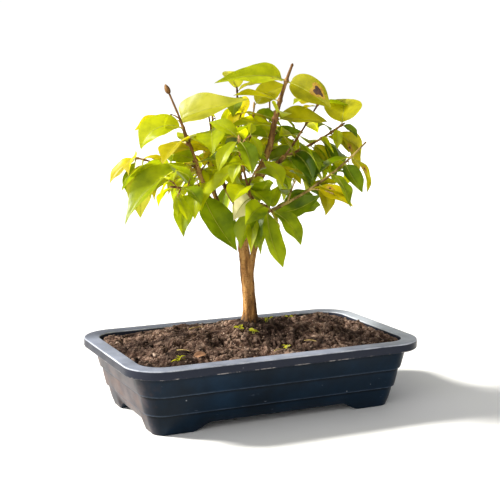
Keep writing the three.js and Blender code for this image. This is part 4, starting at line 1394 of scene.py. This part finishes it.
def make_trunk(curve, material):
    points, shares, length = curve.even(TRUNK_SPACING)
    low = np.exp(-shares * length / TRUNK_RELIEF["height"])
    coarse = TRUNK_RELIEF["coarse"] + TRUNK_RELIEF["low_coarse"] * low
    fine = TRUNK_RELIEF["fine"] + TRUNK_RELIEF["low_fine"] * low
    radii = limb_relief(points, trunk_radius(shares, length), TRUNK_SIDES, coarse, fine, TRUNK_SEED)
    angles = around(TRUNK_SIDES)
    waves = np.cos(RIDGES["count"] * angles + RIDGES["start"])
    ridges = 0.5 + 0.5 * waves * (RIDGES["even"] + RIDGES["uneven"] * np.sin(2 * angles))
    radii += np.exp(-shares * length / RIDGES["height"])[:, None] * RIDGES["size"] * ridges
    for height, turn, size, reach in KNOTS:
        gap = np.abs((np.degrees(angles) - turn + 180) % 360 - 180)
        aside = np.radians(gap) * KNOT_RADIUS
        radii += size * np.exp(-((points[:, 2] - height)[:, None] ** 2 + aside[None] ** 2) / reach ** 2)
    radii += FORK["swell"] * hump(points[:, 2] - FORK["height"], FORK["reach"])[:, None]
    foot, girth = points[0], radii[0]
    for depth in (0.5, 1.0):
        points = np.vstack([foot - UP * TRUNK_SUNK * depth, points])
        radii = np.vstack([girth + SUNK_SPREAD * depth, radii])
    make_piece("trunk_bark", *tube(points, radii, TRUNK_SIDES), material, "bark", ["trunk"])


BOUGH_SIDES = 28
BOUGH_SPACING = 0.6
BOUGH_SEEDS = 10
BOUGH_RELIEF = dict(coarse=0.28, fine=0.12)
TRUNK_STEP = 1.0
COLLAR = 0.8
COLLAR_REACH = 2.4
END_SWELL = 0.45
END_REACH = 2.2


def make_bough(bough, curve, trunk, material, seed):
    points, shares, length = curve.even(BOUGH_SPACING)
    radius = lerp(*bough["girth"], shares) / 2
    trunk_points, trunk_shares, trunk_length = trunk.even(TRUNK_STEP)
    gaps = np.linalg.norm(points[:, None] - trunk_points[None], axis=2)
    gaps = (gaps - trunk_radius(trunk_shares, trunk_length)).min(axis=1)
    radius = radius + bough.get("collar", COLLAR) * hump(gaps, COLLAR_REACH)
    radius = radius + END_SWELL * hump(length - shares * length, END_REACH)
    radii = limb_relief(points, radius, BOUGH_SIDES, seed=seed, **BOUGH_RELIEF)
    name = bough["name"]
    make_piece(f"{name}_bark", *tube(points, radii, BOUGH_SIDES), material, "bark", [name])


STEM_SPACING = 0.7
STEM_SLIM = 0.8
STEM_RELIEF = dict(coarse=0.16, fine=0.06)
FULL_RELIEF = 3
NODE_SWELL = 0.42
NODE_REACH = 1.5
FINE_GIRTH = 1.6


def stem_tube(curve, girth, nodes, seed, sides):
    """A leafy stem, thicker at each node."""
    points, shares, length = curve.even(STEM_SPACING)
    radius = lerp(*girth, shares) / 2
    for node in nodes:
        radius = radius + NODE_SWELL * girth[1] / FINE_GIRTH * hump((shares - node) * length, NODE_REACH)
    strength = min(1.0, girth[0] / FULL_RELIEF)
    relief = {kind: size * strength for kind, size in STEM_RELIEF.items()}
    return tube(points, limb_relief(points, radius, sides, seed=seed, **relief), sides)


BUD_ROWS = 10
BUD_SIDES = 10
BUD_LEAN = 0.8
BUD_FULL = 0.7
BUD_POINT = 0.05


def bud(stem, sunk, length, width):
    """A slim pointed bud at a stem's end."""
    aim = stem.tangent(1.0)
    shares = np.linspace(0, 1, BUD_ROWS)
    points = stem.point(1.0) - aim * sunk + np.outer(shares * length, aim)
    radii = width / 2 * np.sin(math.pi * shares ** BUD_LEAN) ** BUD_FULL + BUD_POINT
    return tube(points, radii, BUD_SIDES)


# Blemishes: a spot and its rusty margin, by place and size along and across a leaf
BLEMISH_RINGS = 6
BLEMISH_TURNS = 28
HALO_LIFT = 0.14
SPOT_LIFT = 0.26
LENS_EDGE = 4
LOBES = dict(size=0.22, count=3, start=1.1)
NICKS = dict(size=0.12, count=5, starts=(0, 3))
BLEMISHES = [
    dict(spray="spray_leader", leaf=1, at=(0.61, 0.36), halo=(0.15, 0.42), spot=(0.11, 0.28)),
    dict(spray="spray_right_long", leaf=1, at=(0.3, 0.3), halo=(0.09, 0.34), spot=(0.03, 0.14)),
    dict(spray="spray_right_long", leaf=9, at=(0.42, -0.4), halo=(0.1, 0.3), spot=(0.045, 0.13)),
    dict(spray="spray_right_up", leaf=6, at=(0.5, 0.2), halo=(0.08, 0.3), spot=(0.03, 0.12)),
    dict(spray="spray_leader", leaf=0, at=(0.3, 0.55), halo=(0.03, 0.1), spot=(0.012, 0.05)),
    dict(spray="spray_back_right", leaf=2, at=(0.55, 0.3), halo=(0.09, 0.3), spot=(0.05, 0.15)),
    dict(spray="spray_back_left", leaf=1, at=(0.45, -0.35), halo=(0.08, 0.3), spot=(0.03, 0.1)),
]


def blemish(surface, centre, size, lift, draw):
    """An irregular patch on both faces of a leaf, as a thin closed lens."""
    angles = around(BLEMISH_TURNS)
    ragged = []
    for angle in angles:
        lobe = LOBES["size"] * math.sin(LOBES["count"] * angle + LOBES["start"])
        nick = NICKS["size"] * math.sin(NICKS["count"] * angle + draw.uniform(*NICKS["starts"]))
        ragged.append(1 + lobe + nick)
    points = []
    for face in (1, -1):
        for ring in range(1, BLEMISH_RINGS + 1):
            share = ring / BLEMISH_RINGS
            along = centre[0] + size[0] * share * np.cos(angles) * ragged
            side = centre[1] + size[1] * share * np.sin(angles) * ragged
            height = np.full(BLEMISH_TURNS, face * lift * (1 - share ** LENS_EDGE))
            points.append(surface(along, side, height))
    faces = loft_faces(BLEMISH_RINGS, BLEMISH_TURNS)
    low = BLEMISH_RINGS * BLEMISH_TURNS
    faces += [tuple(reversed(face)) for face in loft_faces(BLEMISH_RINGS, BLEMISH_TURNS, low)]
    faces.append(tuple(reversed(range(BLEMISH_TURNS))))
    faces.append(tuple(range(low, low + BLEMISH_TURNS)))
    return np.vstack(points), faces


# Growth: young shoots stand between the nodes, where they close no gap that the photo shows
YOUNG_SHOOTS = 6
YOUNG_SPAN = (0.16, 0.94)
YOUNG_TURN = 137.5
YOUNG_OPEN = 52
YOUNG_LENGTH = (7, 13)
YOUNG_LEAF = (13, 22)
YOUNG_GIRTH = (1.1, 0.7)
YOUNG_NODES = (0.5, 1.0)
YOUNG_TINTS = {
    "deep": "green", "green": "lime", "lime": "lime", "olive": "lime", "yellow": "yellow",
}
OPEN_STEMS = ("spray_leader", "spray_left_tall", "spray_right_long", "spray_right_up")
STEM_SIGHT = 5
ROOM = 1.8
COVERED = 0.9
REACH = 4
SPARSE = (7, 3)
DENSE = (60, 24)


def seen_at(points):
    """Where points fall in the photo's frame, in its pixels."""
    eye = np.array(EYE)
    look = unit(np.array(TARGET) - eye)
    across = unit(np.cross(look, UP))
    rise = np.cross(across, look)
    away = points - eye
    scale = LENS / SENSOR * FRAME_PIXELS / (away @ look)
    middle = FRAME_PIXELS / 2
    return np.rint(np.stack([middle - scale * (away @ rise), middle + scale * (away @ across)])).astype(int)


def sight_distance(points):
    return np.linalg.norm(points - np.array(EYE), axis=1)


def leaf_cloud(leaf, density):
    share, side = leaf_grid(*density)
    return leaf_points(leaf, share, side, blade_half(leaf, share), np.zeros(len(share)))


class Foliage:
    """The room that leaves take, the part of the photo's frame that they cover and the stems in its sight."""

    def __init__(self, leaves, stems):
        self.stems = np.vstack([stem.even(STEM_SIGHT)[0] for stem in stems])
        self.clouds = [leaf_cloud(leaf, SPARSE) for leaf in leaves]
        mask = np.zeros((FRAME_PIXELS, FRAME_PIXELS), bool)
        for leaf in leaves:
            mask[tuple(seen_at(leaf_cloud(leaf, DENSE)))] = True
        self.mask = mask.copy()
        for shift in ((0, 1), (0, -1), (1, 0), (-1, 0)):
            self.mask |= np.roll(mask, shift, axis=(0, 1))

    def takes(self, leaf):
        """Adds a leaf where it has room and does not close the sky that the photo shows."""
        cloud = leaf_cloud(leaf, SPARSE)
        if self.mask[tuple(seen_at(cloud))].mean() < COVERED:
            return False
        beside = np.abs(seen_at(cloud)[:, :, None] - seen_at(self.stems)[:, None]).max(axis=0) < STEM_SIGHT
        nearer = sight_distance(cloud)[:, None] < sight_distance(self.stems)[None]
        if (beside & nearer).any():
            return False
        others = np.vstack(self.clouds)
        if np.linalg.norm(cloud[:, None] - others[None], axis=2).min() < ROOM:
            return False
        self.clouds.append(cloud)
        return True


def young_shoots(grown, foliage):
    """Short young shoots between a spray's nodes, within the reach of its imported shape."""
    spray, stem, tints = grown["spray"], grown["stem"], grown["spray"]["tints"]
    corners = np.array([corner.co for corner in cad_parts[spray["name"]].data.vertices]) / MM
    low, high = corners.min(axis=0) - REACH, corners.max(axis=0) + REACH
    draw = seeded(spray["seed"] + 2)
    for count in range(YOUNG_SHOOTS):
        share = lerp(*YOUNG_SPAN, (count + 0.5) / YOUNG_SHOOTS)
        out = spray["turn"] + YOUNG_TURN * count
        start = stem.point(share)
        tip = start + way_out(stem, share, YOUNG_OPEN, out) * lerp(*YOUNG_LENGTH, draw())
        shoot = bowed(start, tip, TWIG_BOW)
        borne = []
        for part, side, turn in leaf_pairs(YOUNG_NODES, out):
            leaf = ruled_leaf(shoot, part, turn, lerp(*YOUNG_LEAF, draw()), draw)
            end = leaf_tip(leaf)
            if (end > low).all() and (end < high).all() and foliage.takes(leaf):
                borne.append((leaf, YOUNG_TINTS[tints[(count + side) % len(tints)]]))
        if borne:
            grown["young"].append(shoot)
            grown["young_leaves"].extend(borne)


def grow_all():
    curves = {"trunk": threaded(TRUNK_PATH)}
    for bough in BOUGHS:
        curves[bough["name"]] = bowed(curves["trunk"].point(bough["at"]), bough["tip"], bough["bow"])
    sprays = []
    for spray in SPRAYS:
        stem = bowed(curves[spray["on"]].point(1.0), spray["tip"], spray["bow"])
        leaves, twigs = grow_spray(spray, stem)
        more = [(shown_leaf(stem, kind), kind["tint"]) for kind in spray["more"]]
        sprays.append(dict(spray=spray, stem=stem, leaves=leaves, more=more, twigs=twigs,
                           young=[], young_leaves=[]))
    leaves = [leaf for grown in sprays for leaf, tint in grown["leaves"] + grown["more"]]
    foliage = Foliage(leaves, [grown["stem"] for grown in sprays if grown["spray"]["name"] in OPEN_STEMS])
    for grown in sprays:
        young_shoots(grown, foliage)
    return curves, sprays


# Bark colours: dark, body and light low on a limb and high on it, and the heights between which they turn
TRUNK_BARK = dict(low=("40270F", "8E6231", "BE9156"), high=("40280F", "82602E", "B48A4E"), heights=(128, 172))
TAN_BARK = dict(low=("5A3A1E", "8E6434", "B4884E"), high=("4A3A18", "88723A", "B29C5C"), heights=(110, 150))
TWIG_BARK = dict(low=("4A3018", "7E5830", "AA8452"), high=("42290F", "76522A", "B48E5A"), heights=(150, 230))
FOOT_STAIN = dict(full=SOIL_TOP + 4, fades=SOIL_TOP + 10, colour="1A120C")


def make_limbs(curves):
    bark = bark_material("bark_trunk", **TRUNK_BARK, foot=FOOT_STAIN)
    make_trunk(curves["trunk"], bark)
    tan = bark_material("bark_second", **TAN_BARK)
    for seed, bough in enumerate(BOUGHS, BOUGH_SEEDS):
        material = tan if bough["name"] == "second_stem" else bark
        make_bough(bough, curves[bough["name"]], curves["trunk"], material, seed)
    return tan


LEADING_BUD = dict(sunk=1.5, length=8.5, width=4.2)
STEM_BUD = dict(sunk=1, length=3.4)
STEM_BUD_WIDTH = 1.15
TWIG_BUD = dict(sunk=0.6, length=2.4, width=1.3)
STEM_SEED, TWIG_SEED, YOUNG_SEED = 40, 70, 90
STEM_SIDES, TWIG_SIDES, YOUNG_SIDES = 14, 10, 8


def make_twigs(sprays, tan):
    brown = bark_material("bark_twig", **TWIG_BARK)
    kinds = {"brown": brown, "tan": tan}
    piles = {kind: Pile() for kind in kinds}
    homes = {kind: [] for kind in kinds}
    for index, grown in enumerate(sprays):
        spray, stem = grown["spray"], grown["stem"]
        kind = "tan" if spray["name"] in TAN_SPRAYS else "brown"
        homes[kind].append(spray["name"])
        pile = piles[kind]
        nodes = stem_nodes(spray) + [shown["at"] for shown in spray["shown"]]
        slim = 1.0 if spray["on"] == "trunk" else STEM_SLIM
        girth = [width * slim for width in spray["girth"]]
        pile.add(*stem_tube(stem, girth, nodes, index + STEM_SEED, STEM_SIDES))
        end = dict(STEM_BUD, width=girth[1] * STEM_BUD_WIDTH)
        pile.add(*bud(stem, **(LEADING_BUD if spray["name"] == BUD_SPRAY else end)))
        for twig in grown["twigs"]:
            pile.add(*stem_tube(twig, TWIG_GIRTH, TWIG_NODES, index + TWIG_SEED, TWIG_SIDES))
            pile.add(*bud(twig, **TWIG_BUD))
        for shoot in grown["young"]:
            pile.add(*stem_tube(shoot, YOUNG_GIRTH, YOUNG_NODES, index + YOUNG_SEED, YOUNG_SIDES))
    for kind, material in kinds.items():
        make_piece(f"twigs_{kind}", *piles[kind].whole(), material, "bark", homes[kind])


def make_leaves(sprays):
    draw = random.Random(SEEDS["leaves"])
    piles = {tint: Pile() for tint in TINTS}
    homes = {tint: [] for tint in TINTS}
    ribs = Pile()

    def hang(leaf, tint, surface, *density):
        piles[tint].add(*blade(surface, *density))
        ribs.add(*rib(leaf))

    for grown in sprays:
        name = grown["spray"]["name"]
        grown["surfaces"] = [leaf_surface(leaf, draw) for leaf, tint in grown["leaves"]]
        for (leaf, tint), surface in zip(grown["leaves"], grown["surfaces"]):
            hang(leaf, tint, surface)
            if name not in homes[tint]:
                homes[tint].append(name)
        for leaf, tint in grown["young_leaves"]:
            hang(leaf, tint, leaf_surface(leaf, draw), YOUNG_ROWS, YOUNG_COLUMNS)
    for leaf, tint in [pair for grown in sprays for pair in grown["more"]]:
        hang(leaf, tint, leaf_surface(leaf, draw))
    for tint, pile in piles.items():
        material = leaf_material(f"leaf_{tint}", *TINTS[tint])
        make_piece(f"leaves_{tint}", *pile.whole(), material, "leaf", homes[tint], closed=False)
    rib_material = plain_material("leaf_rib", "8A8E1C", "B4B24A", scale=300, roughness=0.5)
    make_piece("leaf_ribs", *ribs.whole(), rib_material, "leaf", [grown["spray"]["name"] for grown in sprays])


def make_blemish(sprays):
    """Brown spots with rusty margins on a few leaves."""
    draw = random.Random(SEEDS["blemishes"])
    margins, spots = Pile(), Pile()
    surfaces = {grown["spray"]["name"]: grown["surfaces"] for grown in sprays}
    for mark in BLEMISHES:
        surface = surfaces[mark["spray"]][mark["leaf"]]
        margins.add(*blemish(surface, mark["at"], mark["halo"], HALO_LIFT, draw))
        spots.add(*blemish(surface, mark["at"], mark["spot"], SPOT_LIFT, draw))
    halo = plain_material("leaf_halo", "86660E", "A48414", scale=400, roughness=0.5)
    spot = plain_material("leaf_spot", "24120A", "4A2A14", scale=500, roughness=0.7)
    make_piece("leaf_halo", *margins.whole(), halo, "leaf")
    make_piece("leaf_spot", *spots.whole(), spot, "leaf")


# Seedlings and litter on the soil, by their places
SPROUTS = [(-9.5, -3), (-0.5, -10), (16, 5), (59.5, 51), (12.2, -40.2), (-78.5, -45.5)]
SPROUT_COUNTS = (2, 3)
SPROUT_LEAVES = (2, 2, 3)
SPROUT_SUNK = 0.5
SPROUT_SPREAD = [(-2.2, 2.2)] * 2
SPROUT_STALK = [(-1.5, 1.5), (-1.5, 1.5), (1.2, 2.6)]
SPROUT_BOW = [(-0.4, 0.4)] * 2
SPROUT_LEAF = dict(heading=(-20, 20), pitch=(10, 45), bend=(20, 60), roll=(-25, 25), length=(3.4, 6))
SPROUT_TURNS = (0, 180, 90)
STALK = dict(spacing=0.6, radius=0.28, sides=6)
STRAWS = [(1.1, -49, 20), (-66.5, -27, -35), (34, -38, 140), (-30, 38, 10)]
STRAW = dict(lift=0.9, half=(4, 7), bow=(0, 0, 0.7), spacing=0.7, radius=0.5, taper=0.25, sides=7)
SCRAP = (-55, -44.5)
SCRAP_LIFT = 3.2
SCRAP_LEAF = dict(heading=160, pitch=12, bend=50, roll=-30, length=12, fold=24, wide=1.1)


def make_sprouts(bed):
    draw = random.Random(SEEDS["sprouts"])
    blades, stalks = Pile(), Pile()
    for x, y in SPROUTS:
        foot = on_ground(bed, x, y, -SPROUT_SUNK)
        for _ in range(draw.choice(SPROUT_COUNTS)):
            start = foot + [*drawn_from(draw, SPROUT_SPREAD), 0]
            tip = start + drawn_from(draw, SPROUT_STALK)
            stalk = bowed(start, tip, [*drawn_from(draw, SPROUT_BOW), 0])
            points = stalk.even(STALK["spacing"])[0]
            stalks.add(*tube(points, np.full(len(points), STALK["radius"]), STALK["sides"]))
            turn = draw.uniform(0, 360)
            for side in SPROUT_TURNS[:draw.choice(SPROUT_LEAVES)]:
                leaf = {key: draw.uniform(*span) for key, span in SPROUT_LEAF.items()}
                leaf.update(base=tip, heading=turn + side + leaf["heading"], fold=14, wide=1.1)
                blades.add(*blade(leaf_surface(leaf, draw), YOUNG_ROWS, YOUNG_COLUMNS))
    make_piece("soil_sprout_blades", *blades.whole(), bpy.data.materials["leaf_pale"], "leaf", closed=False)
    stalk_material = plain_material("sprout_stalk", "9AA838", "BEC45E", scale=300, roughness=0.6)
    make_piece("soil_sprout_stalks", *stalks.whole(), stalk_material, "leaf")


def make_litter(bed):
    draw = random.Random(SEEDS["litter"])
    pile = Pile()
    for x, y, turn in STRAWS:
        aim = np.array([math.cos(math.radians(turn)), math.sin(math.radians(turn)), 0])
        middle = on_ground(bed, x, y, STRAW["lift"])
        before, after = drawn_from(draw, [STRAW["half"]] * 2)
        straw = bowed(middle - aim * before, middle + aim * after, STRAW["bow"])
        points, shares, _ = straw.even(STRAW["spacing"])
        pile.add(*tube(points, STRAW["radius"] - STRAW["taper"] * shares, STRAW["sides"]))
    straw_material = plain_material("dry_straw", "8A7038", "C4AE72", scale=300, roughness=0.8)
    make_piece("soil_straws", *pile.whole(), straw_material, "soil")
    scrap = dict(SCRAP_LEAF, base=on_ground(bed, *SCRAP, SCRAP_LIFT))
    dead = plain_material("dry_leaf", "6A4630", "A47C5C", scale=250, roughness=0.75)
    make_piece("soil_dry_leaf", *blade(leaf_surface(scrap, draw)), dead, "soil", closed=False)


# Stage
KEY = {"from": (-0.76, 0.4, 0.6), "strength": 7.0, "softness": 10, "colour": (1.0, 0.97, 0.9)}
FILL = {"from": (-0.75, -0.5, 0.45), "strength": 0.9, "softness": 50, "colour": (1.0, 0.99, 0.97)}
EXPOSURE = 0.05
OVERHEAD = dict(span=(0.12, 0.6), onto=(1.0, 0.42))
DIM_SIDE = dict(span=(0.25, 0.9), onto=(1.0, 0.3))
DIM_TOWARDS = (0.906, -0.423, 0.0)
WHITE = (1.0, 1.0, 1.0, 1.0)
FLOOR_HALF = 6000
FLOOR_CORNERS = [(-1, -1, 0), (1, -1, 0), (1, 1, 0), (-1, 1, 0)]
CLIP_END = 20


def make_stage():
    mesh = new_mesh("floor", np.array(FLOOR_CORNERS) * FLOOR_HALF, [(0, 1, 2, 3)])
    shader = Shader("floor_paper")
    shader.colour = shader.ramp(shader.noise(scale=3, detail=2), (0.3, "F4F4F3"), (0.7, "F8F8F7"))
    mesh.materials.append(shader.finish(roughness=0.9, shine=0.1))
    floor = new_object("floor", mesh)
    floor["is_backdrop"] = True


def turn_towards(thing, way):
    thing.rotation_euler = way.to_track_quat("-Z", "Y").to_euler()


def add_sun(name, kind):
    light = bpy.data.lights.new(name, "SUN")
    light.energy = kind["strength"]
    light.angle = math.radians(kind["softness"])
    light.color = kind["colour"]
    turn_towards(new_object(name, light), -Vector(kind["from"]))


def make_lights():
    """A soft key from behind on the left, a weak fill, and a bright surround that dims overhead and right."""
    add_sun("key", KEY)
    add_sun("fill", FILL)
    world = bpy.data.worlds.new("studio")
    world.use_nodes = True
    nodes = Nodes(world.node_tree, "Generated")
    overhead = nodes.fit(nodes.axis(nodes.place, "Z"), **OVERHEAD)
    aside = nodes.combine("ShaderNodeVectorMath", "DOT_PRODUCT", nodes.place, DIM_TOWARDS)
    background = nodes.tree.nodes["Background"]
    nodes.set(background.inputs["Strength"], nodes.times(overhead, nodes.fit(aside, **DIM_SIDE)))
    nodes.set(background.inputs["Color"], WHITE)
    bpy.context.scene.world = world


def make_camera():
    camera = bpy.data.cameras.new("camera")
    camera.lens = LENS
    camera.sensor_width = SENSOR
    camera.clip_end = CLIP_END
    holder = new_object("camera", camera)
    holder.location = Vector(EYE) * MM
    turn_towards(holder, Vector(TARGET) * MM - holder.location)
    bpy.context.scene.camera = holder


make_camera()
make_lights()
make_stage()
make_tray()
soil_bed = make_soil()
make_crumbs(soil_bed)
trunk_curves, grown_sprays = grow_all()
tan_bark = make_limbs(trunk_curves)
make_twigs(grown_sprays, tan_bark)
make_leaves(grown_sprays)
make_blemish(grown_sprays)
make_sprouts(soil_bed)
make_litter(soil_bed)
bpy.context.scene.view_settings.view_transform = "Standard"
bpy.context.scene.view_settings.exposure = EXPOSURE

boxes = {"cad": CAD_BOX, "visual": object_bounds()}
{key: [list(corner) for corner in box] for key, box in boxes.items()}
